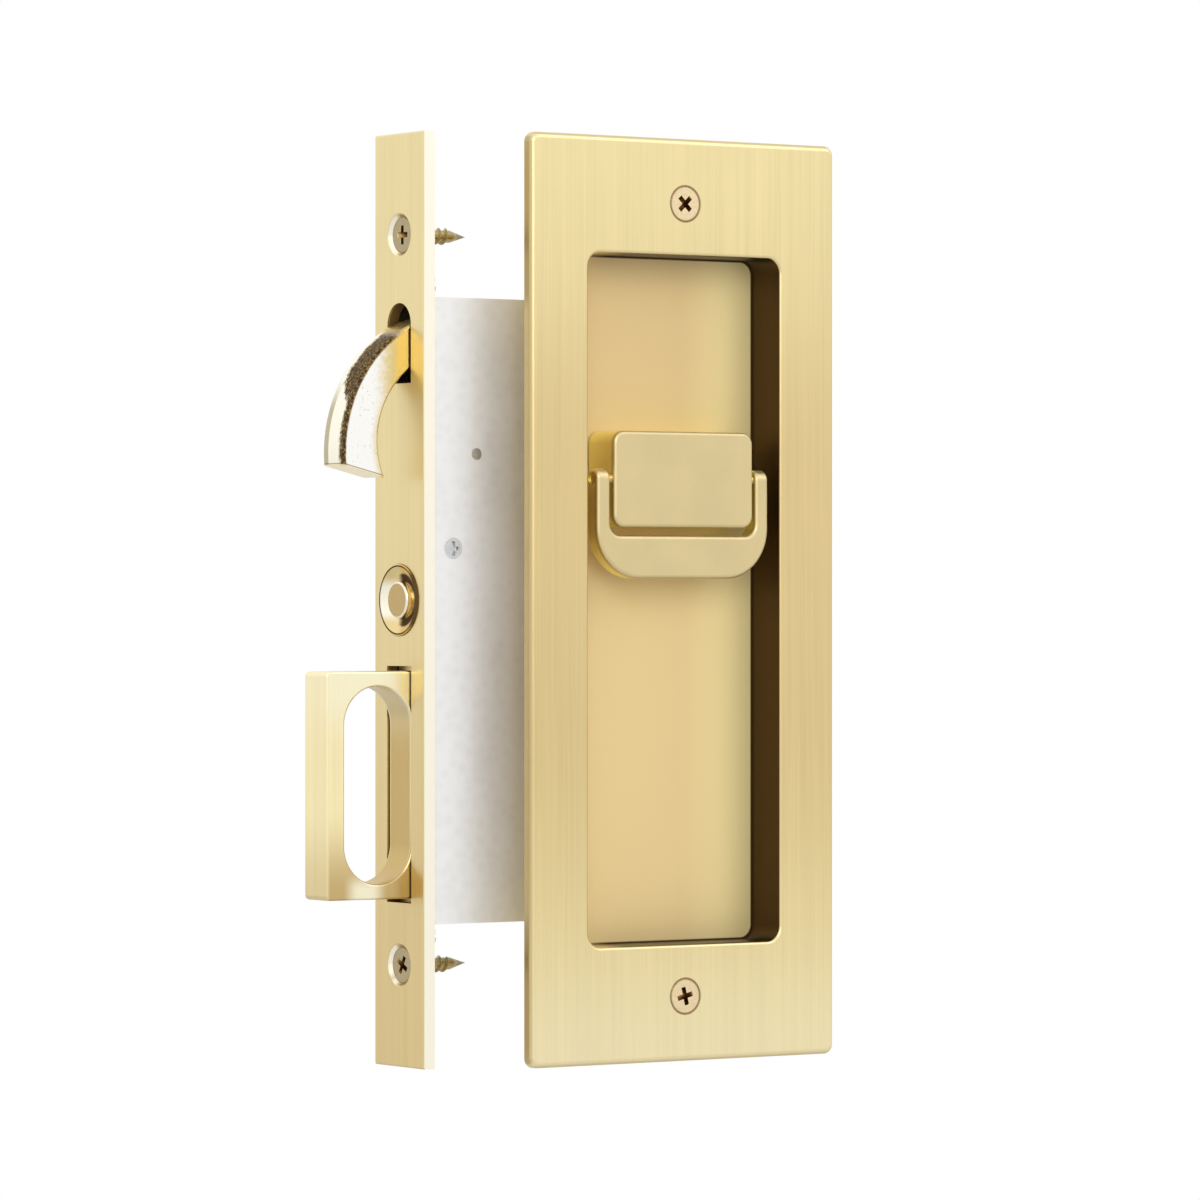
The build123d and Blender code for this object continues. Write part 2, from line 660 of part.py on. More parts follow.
# Catch: a plate on two posts, with the slanted slot of the button's pin and a nose over the rail
slot_low = BUTTON_TRAVEL + PLAY
slot_high = CATCH_DROP + PLAY
with BuildPart() as catch_slide:
    with BuildSketch(SIDE):
        with BuildLine():
            Polyline(
                (catch_front, catch_top),
                (nose_back, catch_top),
                (nose_back, nose_bottom),
                (nose_front, nose_bottom),
                (nose_front, nose_bottom + NOSE_HEIGHT),
                (leg_front, nose_bottom + NOSE_HEIGHT),
                (leg_front, BUTTON_Z - CATCH_FRONT_DROP),
                (catch_front, BUTTON_Z - CATCH_FRONT_DROP),
                close=True,
            )
        make_face()
        for post_place in catch_places:
            with Locations((post_place[0], post_place[1] + (slot_high - slot_low) / 2)):
                SlotCenterToCenter(
                    slot_low + slot_high, 2 * (POST_NECK_R + FIT), rotation=90, mode=Mode.SUBTRACT
                )
        slant_middle = (slot_low - slot_high) / 2
        with Locations((cam_pin_x + slant_middle, BUTTON_Z - slant_middle)):
            slant_length = (slot_low + slot_high) * sqrt(2)
            SlotCenterToCenter(slant_length, 2 * (CAM_PIN_R + FIT), rotation=-45, mode=Mode.SUBTRACT)
    extrude(amount=CATCH_THICK / 2, both=True)
catch_slide.part.label = "catch_slide"
export_step(catch_slide.part, "parts/catch_slide.step")

# Shouldered posts of the catch, riveted into the back wall and headed over the catch
neck_start = CATCH_THICK / 2 + PLAY / 3
with BuildPart() as catch_posts:
    with BuildSketch(SIDE.offset(-case_half)):
        with Locations(*catch_places):
            Circle(SPIGOT_R)
    extrude(amount=CASE_WALL + LEAF)
    with BuildSketch(SIDE.offset(-inner_half + SEAT)):
        with Locations(*catch_places):
            Circle(POST_BASE_R)
    extrude(amount=inner_half - SEAT - neck_start)
    with BuildSketch(SIDE.offset(-neck_start)):
        with Locations(*catch_places):
            Circle(POST_NECK_R)
    extrude(amount=2 * neck_start)
    with BuildSketch(SIDE.offset(neck_start)):
        with Locations(*catch_places):
            Circle(POST_BASE_R)
    extrude(amount=POST_HEAD)
catch_posts.part.label = "catch_posts"
export_step(catch_posts.part, "parts/catch_posts.step")

# Case: folded tray with two ears on the back of the edge plate
with BuildPart() as lock_case:
    with BuildSketch(SIDE.offset(-case_half)) as tray:
        with Locations((case_depth / 2, (case_top + case_bottom) / 2)):
            Rectangle(case_depth, case_height)
        fillet(tray.vertices().sort_by(Axis.X)[-2:], CASE_CORNER)
    extrude(amount=case_half + inner_half)
    with BuildSketch(SIDE.offset(-inner_half)) as hollow:
        with Locations(((case_depth - CASE_WALL) / 2, (case_top + case_bottom) / 2)):
            Rectangle(case_depth - CASE_WALL, case_height - 2 * CASE_WALL)
        fillet(hollow.vertices().sort_by(Axis.X)[-2:], CASE_CORNER - CASE_WALL)
    extrude(amount=2 * inner_half, mode=Mode.SUBTRACT)
    with BuildSketch(SEATING):
        for ear_z in (case_top + EAR_HEIGHT / 2, case_bottom - EAR_HEIGHT / 2):
            with Locations(((case_half - inner_half) / -2, ear_z)):
                Rectangle(case_half + inner_half, EAR_HEIGHT)
        with Locations(*ear_places):
            Circle(SMALL_SCREW_R + FIT, mode=Mode.SUBTRACT)
    extrude(amount=-CASE_WALL)
    with BuildSketch(SIDE.offset(-case_half)):
        with Locations((turn_x, TURN_Z)):
            Circle(HUB_R + FIT)
        with Locations((HOOK_X, HOOK_Z), *catch_places, *leaf_places):
            Circle(SPIGOT_R + SEAT)
        with Locations(*spacer_places):
            Circle(SPIGOT_R + SEAT)
    extrude(amount=CASE_WALL, mode=Mode.SUBTRACT)
lock_case.part.label = "lock_case"
export_step(lock_case.part, "parts/lock_case.step")

# Lid of the case, on the side of the flush pull
with BuildPart() as case_cover:
    with BuildSketch(SIDE.offset(inner_half)) as lid:
        with Locations((case_depth / 2, (case_top + case_bottom) / 2)):
            Rectangle(case_depth, case_height)
        fillet(lid.vertices().sort_by(Axis.X)[-2:], CASE_CORNER)
        with Locations((turn_x, TURN_Z)):
            Circle(HUB_R + FIT, mode=Mode.SUBTRACT)
        with Locations((HOOK_X, HOOK_Z)):
            Circle(SPIGOT_R + SEAT, mode=Mode.SUBTRACT)
    extrude(amount=CASE_WALL)
    with Locations(*[Location((x, -case_half, z), (90, 0, 0)) for x, z in spacer_places]):
        CounterSinkHole(SMALL_SCREW_R + FIT, SMALL_HEAD_R, counter_sink_angle=90)
case_cover.part.label = "case_cover"
export_step(case_cover.part, "parts/case_cover.step")

# Tapped spacers between the two walls
with BuildPart() as case_posts:
    with BuildSketch(SIDE.offset(-inner_half)):
        with Locations(*spacer_places):
            Circle(SPACER_R)
    extrude(amount=2 * inner_half)
    with BuildSketch(SIDE.offset(-case_half)):
        with Locations(*spacer_places):
            Circle(SPIGOT_R)
    extrude(amount=CASE_WALL + LEAF)
    with BuildSketch(SIDE.offset(inner_half)):
        with Locations(*spacer_places):
            Circle(SMALL_SCREW_R + SEAT)
    extrude(amount=-COVER_SCREW_BITE - PLAY, mode=Mode.SUBTRACT)
case_posts.part.label = "case_posts"
export_step(case_posts.part, "parts/case_posts.step")

# Countersunk screws of the lid
with BuildPart() as cover_screws:
    for spacer_x, spacer_z in spacer_places:
        with BuildSketch(Plane(origin=(spacer_x, -case_half, spacer_z), x_dir=(0, 1, 0), z_dir=(1, 0, 0))):
            with BuildLine():
                Polyline(
                    (SEAT, 0),
                    (SEAT, SMALL_HEAD_R - 2 * SEAT),
                    (SMALL_HEAD_R - SMALL_SCREW_R + SEAT, SMALL_SCREW_R - 2 * SEAT),
                    (CASE_WALL + COVER_SCREW_BITE, SMALL_SCREW_R - 2 * SEAT),
                    (CASE_WALL + COVER_SCREW_BITE, 0),
                    close=True,
                )
            make_face()
        revolve(axis=Axis((spacer_x, 0, spacer_z), (0, 1, 0)))
        with BuildSketch(SIDE.offset(case_half)):
            with Locations((spacer_x, spacer_z)):
                Rectangle(SMALL_HEAD_R * 1.3, SMALL_HEAD_R * 0.35)
                Rectangle(SMALL_HEAD_R * 0.35, SMALL_HEAD_R * 1.3)
        extrude(amount=-SMALL_HEAD_R * 0.4, mode=Mode.SUBTRACT)
cover_screws.part.label = "cover_screws"
export_step(cover_screws.part, "parts/cover_screws.step")

# Screws that hold the ears of the case on the edge plate
with BuildPart() as flange_screws:
    with BuildSketch(SEATING.offset(EAR_SCREW_BITE)):
        with Locations(*ear_places):
            Circle(SMALL_SCREW_R)
    extrude(amount=-EAR_SCREW_BITE - CASE_WALL - SMALL_HEAD)
    with BuildSketch(SEATING.offset(-CASE_WALL - SEAT)):
        with Locations(*ear_places):
            Circle(SMALL_HEAD_R)
    extrude(amount=-SMALL_HEAD)
    with BuildSketch(SEATING.offset(-CASE_WALL - SMALL_HEAD - SEAT)):
        with Locations(*ear_places):
            Rectangle(3 * SMALL_HEAD_R, SMALL_HEAD / 2)
    extrude(amount=SMALL_HEAD / 2, mode=Mode.SUBTRACT)
flange_screws.part.label = "flange_screws"
export_step(flange_screws.part, "parts/flange_screws.step")

# Flush pull: face plate and recess in one casting
cup_width = RECESS_WIDTH + 2 * CUP_WALL
cup_height = RECESS_HEIGHT + 2 * CUP_WALL
with BuildPart(FACE) as flush_pull:
    with BuildSketch(FACE):
        RectangleRounded(FACE_WIDTH, FACE_HEIGHT, FACE_CORNER)
    extrude(amount=-FACE_THICK)
    fillet(flush_pull.faces().sort_by(Axis.Y)[0].edges(), FACE_ROUND)
    with BuildSketch(FACE.offset(-FACE_THICK)):
        RectangleRounded(cup_width, cup_height, RECESS_CORNER + CUP_WALL)
    extrude(amount=FACE_THICK - RECESS_DEPTH - CUP_FLOOR)
    with BuildSketch(FACE):
        RectangleRounded(RECESS_WIDTH, RECESS_HEIGHT, RECESS_CORNER)
    extrude(amount=-RECESS_DEPTH, mode=Mode.SUBTRACT)
    fillet(flush_pull.faces().sort_by(Axis.Y)[0].inner_wires()[0].edges(), RECESS_ROUND)
    with Locations((0, FACE_SCREW_Z), (0, -FACE_SCREW_Z)):
        CounterSinkHole(FACE_SHANK_R + FIT, FACE_HEAD_R, counter_sink_angle=90)
    with BuildSketch(FACE.offset(-RECESS_DEPTH)):
        with Locations((0, TURN_Z)):
            Circle(JOURNAL_R + FIT)
    extrude(amount=-CUP_FLOOR, mode=Mode.SUBTRACT)
    with BuildSketch(FACE.offset(-RECESS_DEPTH - CUP_FLOOR)):
        with Locations((0, TURN_Z)):
            Circle(RING_R + PLAY)
    extrude(amount=RING_ROOM, mode=Mode.SUBTRACT)
flush_pull.part.label = "flush_pull"
export_step(flush_pull.part, "parts/flush_pull.step")

# Wood screws of the flush pull, flush with its face
with BuildPart() as flush_pull_screws:
    for screw_z in (FACE_SCREW_Z, -FACE_SCREW_Z):
        with BuildSketch(Plane(origin=(turn_x, -face_out, screw_z), x_dir=(0, 1, 0), z_dir=(1, 0, 0))):
            with BuildLine():
                Polyline(
                    (SEAT, 0),
                    (SEAT, FACE_HEAD_R - 3 * SEAT),
                    (FACE_HEAD_R - FACE_SHANK_R - SEAT, FACE_SHANK_R - SEAT),
                    (FACE_THICK + SEAT, FACE_SHANK_R - SEAT),
                    (FACE_THICK + SEAT, FACE_THREAD_R),
                    (FACE_SCREW_LENGTH - 2 * FACE_THREAD_R, FACE_THREAD_R),
                    (FACE_SCREW_LENGTH, 0),
                    close=True,
                )
            make_face()
        revolve(axis=Axis((turn_x, 0, screw_z), (0, 1, 0)))
        with BuildSketch(FACE.offset(-SEAT)):
            with Locations((0, screw_z)):
                Rectangle(FACE_HEAD_R * 1.25, FACE_HEAD_R * 0.3)
                Rectangle(FACE_HEAD_R * 0.3, FACE_HEAD_R * 1.25)
        extrude(amount=-FACE_HEAD_R * 0.4, mode=Mode.SUBTRACT)
flush_pull_screws.part.label = "flush_pull_screws"
export_step(flush_pull_screws.part, "parts/flush_pull_screws.step")

# Boss of the turn, with the journal that runs in the floor of the recess
boss_front = face_out - BOSS_SUNK
boss_back = floor_out + PLAY
journal_end = case_half - JOURNAL_TAIL
groove_front = case_half + RING_ROOM - SEAT
pin_out = face_out - BAIL_SUNK - BAIL_THICK / 2
with BuildPart(HUB) as turn_boss:
    with BuildSketch(HUB.offset(boss_back)):
        with Locations((0, BOSS_RISE)):
            RectangleRounded(BOSS_WIDTH, BOSS_HEIGHT, BOSS_CORNER)
    extrude(amount=boss_front - boss_back)
    fillet(turn_boss.faces().sort_by(Axis.Y)[0].edges(), BOSS_ROUND)
    with BuildSketch(HUB.offset(journal_end)):
        Circle(JOURNAL_R)
    extrude(amount=boss_back - journal_end)
    with BuildSketch(HUB.offset(groove_front)):
        Circle(JOURNAL_R)
        Circle(GROOVE_R, mode=Mode.SUBTRACT)
    extrude(amount=-RING_THICK - 2 * SEAT, mode=Mode.SUBTRACT)
    with BuildSketch(HUB.offset(journal_end)):
        Rectangle(SQUARE + 2 * SEAT, SQUARE + 2 * SEAT)
    extrude(amount=floor_out + SOCKET_DEPTH + SEAT - journal_end, mode=Mode.SUBTRACT)
    with Locations(Location((0, BAIL_PIN_Z, pin_out), (0, 90, 0))):
        Cylinder(BAIL_PIN_R + SEAT, 2 * BOSS_WIDTH, mode=Mode.SUBTRACT)
turn_boss.part.label = "turn_boss"
export_step(turn_boss.part, "parts/turn_boss.step")

# Open ring that holds the journal behind the floor
with BuildPart() as turn_ring:
    with BuildSketch(HUB.offset(groove_front - SEAT)):
        Circle(RING_R)
        Circle(GROOVE_R + SEAT, mode=Mode.SUBTRACT)
        with Locations((0, -RING_R)):
            Rectangle(GROOVE_R, 2 * RING_R, mode=Mode.SUBTRACT)
    extrude(amount=-RING_THICK)
turn_ring.part.label = "turn_ring"
export_step(turn_ring.part, "parts/turn_ring.step")

# Bail that folds down round the boss
bail_inner = BAIL_WIDTH - 2 * BAIL_ARM
bar_top = BAIL_BAR - BAIL_DROP
with BuildPart(HUB) as turn_bail:
    with BuildSketch(HUB.offset(pin_out)) as bow:
        with Locations((0, (BAIL_PIN_Z - BAIL_DROP) / 2)):
            Rectangle(BAIL_WIDTH, BAIL_PIN_Z + BAIL_DROP)
        fillet(bow.vertices().sort_by(Axis.Y)[:2], BAIL_CORNER)
        with Locations((0, (BAIL_PIN_Z + bar_top) / 2)):
            Rectangle(bail_inner, BAIL_PIN_Z - bar_top, mode=Mode.SUBTRACT)
        bar_corners = bow.vertices().filter_by_position(Axis.Y, bar_top - SEAT, bar_top + SEAT)
        fillet(bar_corners, BOSS_CORNER)
    extrude(amount=BAIL_THICK / 2, both=True)
    arm_x = (BAIL_WIDTH - BAIL_ARM) / 2
    for side in (-arm_x, arm_x):
        with Locations(Location((side, BAIL_PIN_Z, pin_out), (0, 90, 0))):
            Cylinder(BAIL_THICK / 2, BAIL_ARM)
    fillet(turn_bail.edges().filter_by(Axis.Y, reverse=True), BAIL_ROUND)
    with Locations(Location((0, BAIL_PIN_Z, pin_out), (0, 90, 0))):
        Cylinder(BAIL_PIN_R + FIT, 2 * BAIL_WIDTH, mode=Mode.SUBTRACT)
turn_bail.part.label = "turn_bail"
export_step(turn_bail.part, "parts/turn_bail.step")

# Pin through the boss that the bail swings on
with BuildPart(HUB) as bail_pin:
    with Locations(Location((0, BAIL_PIN_Z, pin_out), (0, 90, 0))):
        Cylinder(BAIL_PIN_R, BAIL_WIDTH - 2 * PLAY)
bail_pin.part.label = "bail_pin"
export_step(bail_pin.part, "parts/bail_pin.step")
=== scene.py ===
"""Looks of a brass pocket door lockset: finishes, wood screws, bushing, springs and the stage.

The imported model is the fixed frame. Lengths are in metres, X runs into the door, Z is up.
"""

import json
from math import cos, radians, sin, tau

import bmesh
import bpy
from mathutils import Matrix, Vector


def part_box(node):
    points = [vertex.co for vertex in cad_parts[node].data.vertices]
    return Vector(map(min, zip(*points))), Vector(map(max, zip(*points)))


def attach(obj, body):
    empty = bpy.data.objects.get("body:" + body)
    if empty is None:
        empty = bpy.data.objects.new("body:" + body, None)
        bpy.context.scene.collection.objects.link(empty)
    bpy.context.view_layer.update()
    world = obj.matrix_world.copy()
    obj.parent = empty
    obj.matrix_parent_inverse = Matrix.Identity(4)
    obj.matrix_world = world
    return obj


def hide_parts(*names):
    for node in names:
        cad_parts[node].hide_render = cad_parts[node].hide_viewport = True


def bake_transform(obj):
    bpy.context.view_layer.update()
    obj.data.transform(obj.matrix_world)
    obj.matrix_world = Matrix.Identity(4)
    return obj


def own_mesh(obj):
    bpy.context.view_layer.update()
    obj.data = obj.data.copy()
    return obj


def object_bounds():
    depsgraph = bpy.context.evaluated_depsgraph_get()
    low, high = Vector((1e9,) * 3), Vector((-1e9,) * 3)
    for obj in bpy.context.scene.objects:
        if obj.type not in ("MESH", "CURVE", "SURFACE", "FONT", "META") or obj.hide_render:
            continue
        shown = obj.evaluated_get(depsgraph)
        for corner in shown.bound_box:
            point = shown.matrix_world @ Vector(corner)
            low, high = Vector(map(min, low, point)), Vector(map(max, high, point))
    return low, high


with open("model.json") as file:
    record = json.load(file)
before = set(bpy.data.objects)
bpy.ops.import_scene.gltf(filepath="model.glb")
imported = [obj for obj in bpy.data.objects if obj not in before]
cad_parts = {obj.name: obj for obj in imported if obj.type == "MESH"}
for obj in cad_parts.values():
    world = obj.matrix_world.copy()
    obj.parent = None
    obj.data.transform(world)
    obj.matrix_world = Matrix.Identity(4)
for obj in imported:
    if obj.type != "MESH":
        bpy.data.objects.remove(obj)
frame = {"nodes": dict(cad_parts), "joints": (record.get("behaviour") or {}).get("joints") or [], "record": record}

bl_info = {
    "name": "Pocket door lockset",
    "version": (1, 0, 0),
    "blender": (4, 5, 0),
    "location": "View3D > Sidebar > Lockset",
    "description": "Finishes, screws, springs and stage of a brass pocket door lockset",
    "category": "Object",
}

CAD_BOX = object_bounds()
JOINTS = {joint["name"]: joint for joint in frame["joints"]}
MOUNTS = {mount["name"]: mount["dims"] for mount in frame["record"]["mounts"]}
MM = 0.001
ORIGIN = Vector((0, 0, 0))
QUARTER = tau / 4

# Radius of the release button, and its play in the bushing
BUTTON_R = 3.8 * MM
BUTTON_PLAY = 0.06 * MM

# Outer and inner end of the hook's flat tip, in X and Z
TIP_OUT = (-18.30 * MM, 27.32 * MM)
TIP_IN = (-8.48 * MM, 24.90 * MM)

# Recess of the flush pull: half of its opening, the radius of its corners and its depth
RECESS_HALF_X = 24.0 * MM
RECESS_HALF_Z = 71.1 * MM
RECESS_CORNER = 3.0 * MM
RECESS_DEPTH = 10.1 * MM

# Half the thickness of the case's sheet
HALF_SHEET = 0.6 * MM

# Coils: node, joint that presses it, radius of the wire and number of turns
COILS = (("pull_spring", "pull_slide", 0.5 * MM, 9), ("button_spring", "button_press", 0.3 * MM, 5))

# How far the upper and the lower screw of each pair are turned, in degrees
EDGE_TURNS = (0, -28)
FACE_TURNS = (44, 14)

# Wood screws: length of the taper below the plain shank and of the point, in shank radii
TAPER = 0.4
POINT = 2.2

# Thread: its inner radius in root radii, and how far down its crest and its foot lie, in pitches
THREAD_INNER = 0.9
THREAD_CREST = 0.28
THREAD_FOOT = 0.5

# Steps in one turn of a thread and of a coil, round the bushing's lip and down its bowl
THREAD_STEPS = 20
COIL_STEPS = 24
LIP_STEPS = 10
BOWL_STEPS = 12

# Floor: its radius, and where its middle lies along X
FLOOR_R = 0.6
FLOOR_X = 0.04

# Lamps: name, place, size in metres and power in watts
LAMPS = (("key", (0.75, -0.85, 0.75), 0.7, 1.6), ("fill", (-0.5, -0.95, 0.45), 0.6, 3.4))

# Vertices nearer than this are merged
MERGE = 0.002 * MM

# Scale of the finest grain on smooth brass, and the range that noise mostly lies in
GRAIN = 3200.0
NOISE_RANGE = (0.3, 0.7)


def middle(node):
    """Centre of a CAD node's box."""
    low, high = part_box(node)
    return (low + high) / 2


def finish_color(name, description, default):
    """A colour property with the settings that all finishes share."""
    return bpy.props.FloatVectorProperty(
        name=name, description=description, default=default, size=3, min=0, max=1, subtype="COLOR"
    )


def length_value(name, description, default):
    """A length property in metres."""
    return bpy.props.FloatProperty(
        name=name, description=description, default=default, min=0, precision=5, unit="LENGTH"
    )


def share_value(name, description, default):
    """A property from none to all."""
    return bpy.props.FloatProperty(
        name=name, description=description, default=default, min=0, max=1, subtype="FACTOR"
    )


class LocksetFinishes(bpy.types.PropertyGroup):
    """Colours and gloss of the metals."""

    satin: finish_color("Satin brass", "Brushed plates and the edge pull", (0.86, 0.72, 0.385))
    # Painted shade: darker, yellower brass low on the edge plate, in the middle of the flush pull and on the flush
    # pull's rim and left side
    satin_shaded: finish_color("Deep satin brass", "Yellower parts of the brushed plates", (0.75, 0.585, 0.285))
    satin_roughness: share_value("Satin roughness", "Gloss of the brushed brass", 0.34)
    brush_pitch: length_value("Brush pitch", "Width of the finest brush lines", 0.35 * MM)
    recess_floor: finish_color("Recess floor", "Even, duller floor of the recess", (0.795, 0.59, 0.287))
    # Painted shade on the wall of the flush pull's recess
    recess_wall_shade: finish_color("Recess wall", "Darkened wall of the flush pull's recess", (0.065, 0.036, 0.011))
    pull: finish_color("Pull brass", "Paler brass of the edge pull", (0.98, 0.84, 0.49))
    # Painted light: the pale colour at the edge pull's upper end, below its finger hole and at the flush pull's
    # foot
    pull_top: finish_color("Pull, upper end", "Worn upper end of the edge pull", (0.98, 0.93, 0.70))
    # Painted shade at the lower end of the edge pull
    pull_bottom: finish_color("Pull, lower end", "Yellower lower end of the edge pull", (0.60, 0.44, 0.19))
    # Painted shade on the walls of the finger hole
    pull_hole_shade: finish_color("Pull, inside", "Walls of the finger hole", (0.61, 0.44, 0.175))
    turn: finish_color("Turn brass", "Smooth matte boss and bail", (0.71, 0.58, 0.315))
    # Painted reflection on the sides of the boss and the bail
    turn_side_lit: finish_color("Turn sides", "Yellower sides of the boss and the bail", (1.0, 0.90, 0.41))
    polish: finish_color("Polished brass", "Bushing round the button", (0.80, 0.63, 0.29))
    # Painted shade on one side of the bushing's dish
    polish_shaded: finish_color("Polished brass, deep", "Darker side of the bushing's dish", (0.70, 0.45, 0.12))
    button: finish_color("Button", "Matte face of the release button", (0.565, 0.41, 0.175))
    # Painted reflection: the near-white sides of the hook
    hook: finish_color("Hook", "Ground sides of the hook", (1.0, 0.99, 0.95))
    # Gold where the painted reflection on the hook's sides gives way
    hook_root: finish_color("Hook root", "Yellower brass where the hook leaves its slot", (0.79, 0.61, 0.25))
    # Painted shade with the grain of scale on the upper back of the hook
    scale_and_shade: finish_color("Hook scale", "Dark scale on the upper back of the hook", (0.10, 0.055, 0.015))
    hook_tip: finish_color("Hook tip", "Flat end of the hook", (0.97, 0.82, 0.46))
    # Darker colour along the far edge of the hook's back, low down
    hook_far: finish_color("Hook far edge", "Duller far edge of the hook's back", (0.45, 0.37, 0.23))
    hook_fleck: finish_color("Hook flecks", "Brass that shows through the scale", (0.42, 0.27, 0.075))
    # Painted highlight on the hook's back, the plate's sides, the button's edge and one side of each dish
    painted_highlight: finish_color("Worn brass", "The hook's back, edges and dishes, rubbed bright", (1.0, 0.95, 0.79))
    # Painted shade on the walls of the slots
    slot: finish_color("Slots", "Dark walls of the slots in the edge plate", (0.20, 0.125, 0.045))
    # Painted shade in the rings round the screws
    ring: finish_color("Screw seat", "Dirt in the rings round the screws", (0.22, 0.135, 0.05))
    # Painted shade in the bushing's dish, its groove, its foot and its lip
    painted_shade: finish_color("Patina", "Dark patina in the bushing's dish", (0.06, 0.026, 0.006))
    screw: finish_color("Screw brass", "Bright screws of the flush pull", (0.86, 0.69, 0.42))
    # A darker copy of the screw brass, for the edge plate's screws
    screw_darker: finish_color("Dull screw brass", "Duller screws of the edge plate", (0.45, 0.37, 0.21))
    # Painted shade in the cross recesses
    screw_recess_shade: finish_color("Screw recess", "Darkened cross recesses", (0.36, 0.22, 0.09))
    zinc: finish_color("Zinc", "Plated sheet of the case", (0.93, 0.935, 0.94))
    # Painted shade inside the case
    case_shade: finish_color("Grease", "Greased inside of the case", (0.16, 0.11, 0.06))
    steel: finish_color("Steel", "Bright inner pieces", (0.70, 0.71, 0.72))
    wire: finish_color("Spring wire", "Drawn spring steel", (0.50, 0.50, 0.52))


class LocksetScrews(bpy.types.PropertyGroup):
    """Shape of the wood screws, beyond what the frame gives."""

    recess_reach: share_value("Recess reach", "Half length of the cross, as a share of the head", 0.78)
    recess_width: share_value("Recess width", "Width of a wing, as a share of the head", 0.36)
    recess_depth: share_value("Recess depth", "Depth of the cross, as a share of the head", 0.55)
    plain_share: share_value("Plain shank", "Share of the shank that has no thread", 0.30)
    root_share: share_value("Thread root", "Root of the thread, as a share of the shank", 0.70)
    pitch: length_value("Thread pitch", "Distance between two turns of the thread", 1.6 * MM)


class LocksetStage(bpy.types.PropertyGroup):
    """Camera, light and floor."""

    azimuth: bpy.props.FloatProperty(
        name="Azimuth", description="Camera's turn round the object", default=radians(-34), subtype="ANGLE"
    )
    distance: length_value("Distance", "From the camera to the point it looks at", 1.25)
    lens: bpy.props.FloatProperty(name="Lens", description="Focal length in millimetres", default=183.7, min=1)
    aim: bpy.props.FloatVectorProperty(
        name="Aim", description="Point the camera looks at", default=(0.0318, -0.0223, 0.0), subtype="TRANSLATION"
    )
    floor_drop: length_value("Floor drop", "From the lowest point down to the floor", 0.11)
    dim_share: share_value("Dim side", "How dark the room behind the camera is in reflections", 0.12)
    ambient: share_value("Ambient", "Light that the surroundings give to matte surfaces", 0.7)


class Wire:
    """A socket in a node tree. Arithmetic on it adds Math nodes."""

    def __init__(self, tree, socket=None):
        self.tree = tree
        self.socket = socket

    def node(self, kind, settings=None, inputs=None, output=0):
        """Adds a node: its settings first, then the values or links of its sockets."""
        made = self.tree.nodes.new(kind)
        for key, value in (settings or {}).items():
            setattr(made, key, value)
        for key, value in (inputs or {}).items():
            if isinstance(value, Wire):
                self.tree.links.new(value.socket, made.inputs[key])
            elif made.inputs[key].type == "RGBA":
                made.inputs[key].default_value = (*value, 1)
            else:
                made.inputs[key].default_value = value
        return Wire(self.tree, made.outputs[output] if made.outputs else None)

    def math(self, operation, *values):
        """Adds a Math node."""
        return self.node("ShaderNodeMath", {"operation": operation}, dict(enumerate(values)))

    def __add__(self, other):
        return self.math("ADD", self, other)

    def __sub__(self, other):
        return self.math("SUBTRACT", self, other)

    def __rsub__(self, other):
        return self.math("SUBTRACT", other, self)

    def __mul__(self, other):
        return self.math("MULTIPLY", self, other)

    def __abs__(self):
        return self.math("ABSOLUTE", self)

    def __pow__(self, other):
        return self.math("POWER", self, other)

    __radd__ = __add__
    __rmul__ = __mul__

    def ease(self, start, end):
        """Goes smoothly from 0 at start to 1 at end."""
        limits = {"Value": self, "From Min": start, "From Max": end}
        return self.node("ShaderNodeMapRange", {"interpolation_type": "SMOOTHSTEP"}, limits)

    def at_least(self, other):
        """The larger of this value and the other."""
        return self.math("MAXIMUM", self, other)

    def split(self):
        """The three parts of a vector."""
        parts = self.node("ShaderNodeSeparateXYZ", None, {"Vector": self})
        return [Wire(self.tree, socket) for socket in parts.socket.node.outputs]

    def blend(self, low, high):
        """Colour between low and high, by this value."""
        colors = {"Factor": self, 6: low, 7: high}
        return self.node("ShaderNodeMix", {"data_type": "RGBA"}, colors, output=2)

    def shade(self, color, dark, light):
        """A colour from darker to lighter, by this value."""
        return self.blend(tint(color, dark), tint(color, light))

    def noise(self, scale, detail, stretch=(1, 1, 1)):
        """Noise over this vector, stretched along its axes."""
        mapped = self.node("ShaderNodeMapping", None, {"Vector": self, "Scale": stretch})
        settings = {"Vector": mapped, "Scale": scale, "Detail": detail}
        return self.node("ShaderNodeTexNoise", None, settings)


def new_material(name):
    """A cleared material, and the Object coordinates of what wears it."""
    made = bpy.data.materials.new(name)
    made.use_nodes = True
    made.node_tree.nodes.clear()
    place = Wire(made.node_tree).node("ShaderNodeTexCoord", None, None, "Object")
    return made, place


def close_metal(place, color, roughness, height, strength, distance, metallic=1.0, gloss=0.5):
    """Ends a material with a metal shader. Gloss is what shows where the metal is covered."""
    relief = {"Height": height, "Strength": strength, "Distance": distance}
    sockets = {
        "Base Color": color,
        "Metallic": metallic,
        "Roughness": roughness,
        "Specular IOR Level": gloss,
        "Normal": place.node("ShaderNodeBump", None, relief),
    }
    shader = place.node("ShaderNodeBsdfPrincipled", None, sockets)
    place.node("ShaderNodeOutputMaterial", None, {"Surface": shader})


def tint(color, amount):
    """A colour made lighter or darker."""
    return tuple(min(1.0, part * amount) for part in color)


def off_axis(across, up):
    """Distance from an axis, by the two ways to it."""
    return (across * across + up * up) ** 0.5


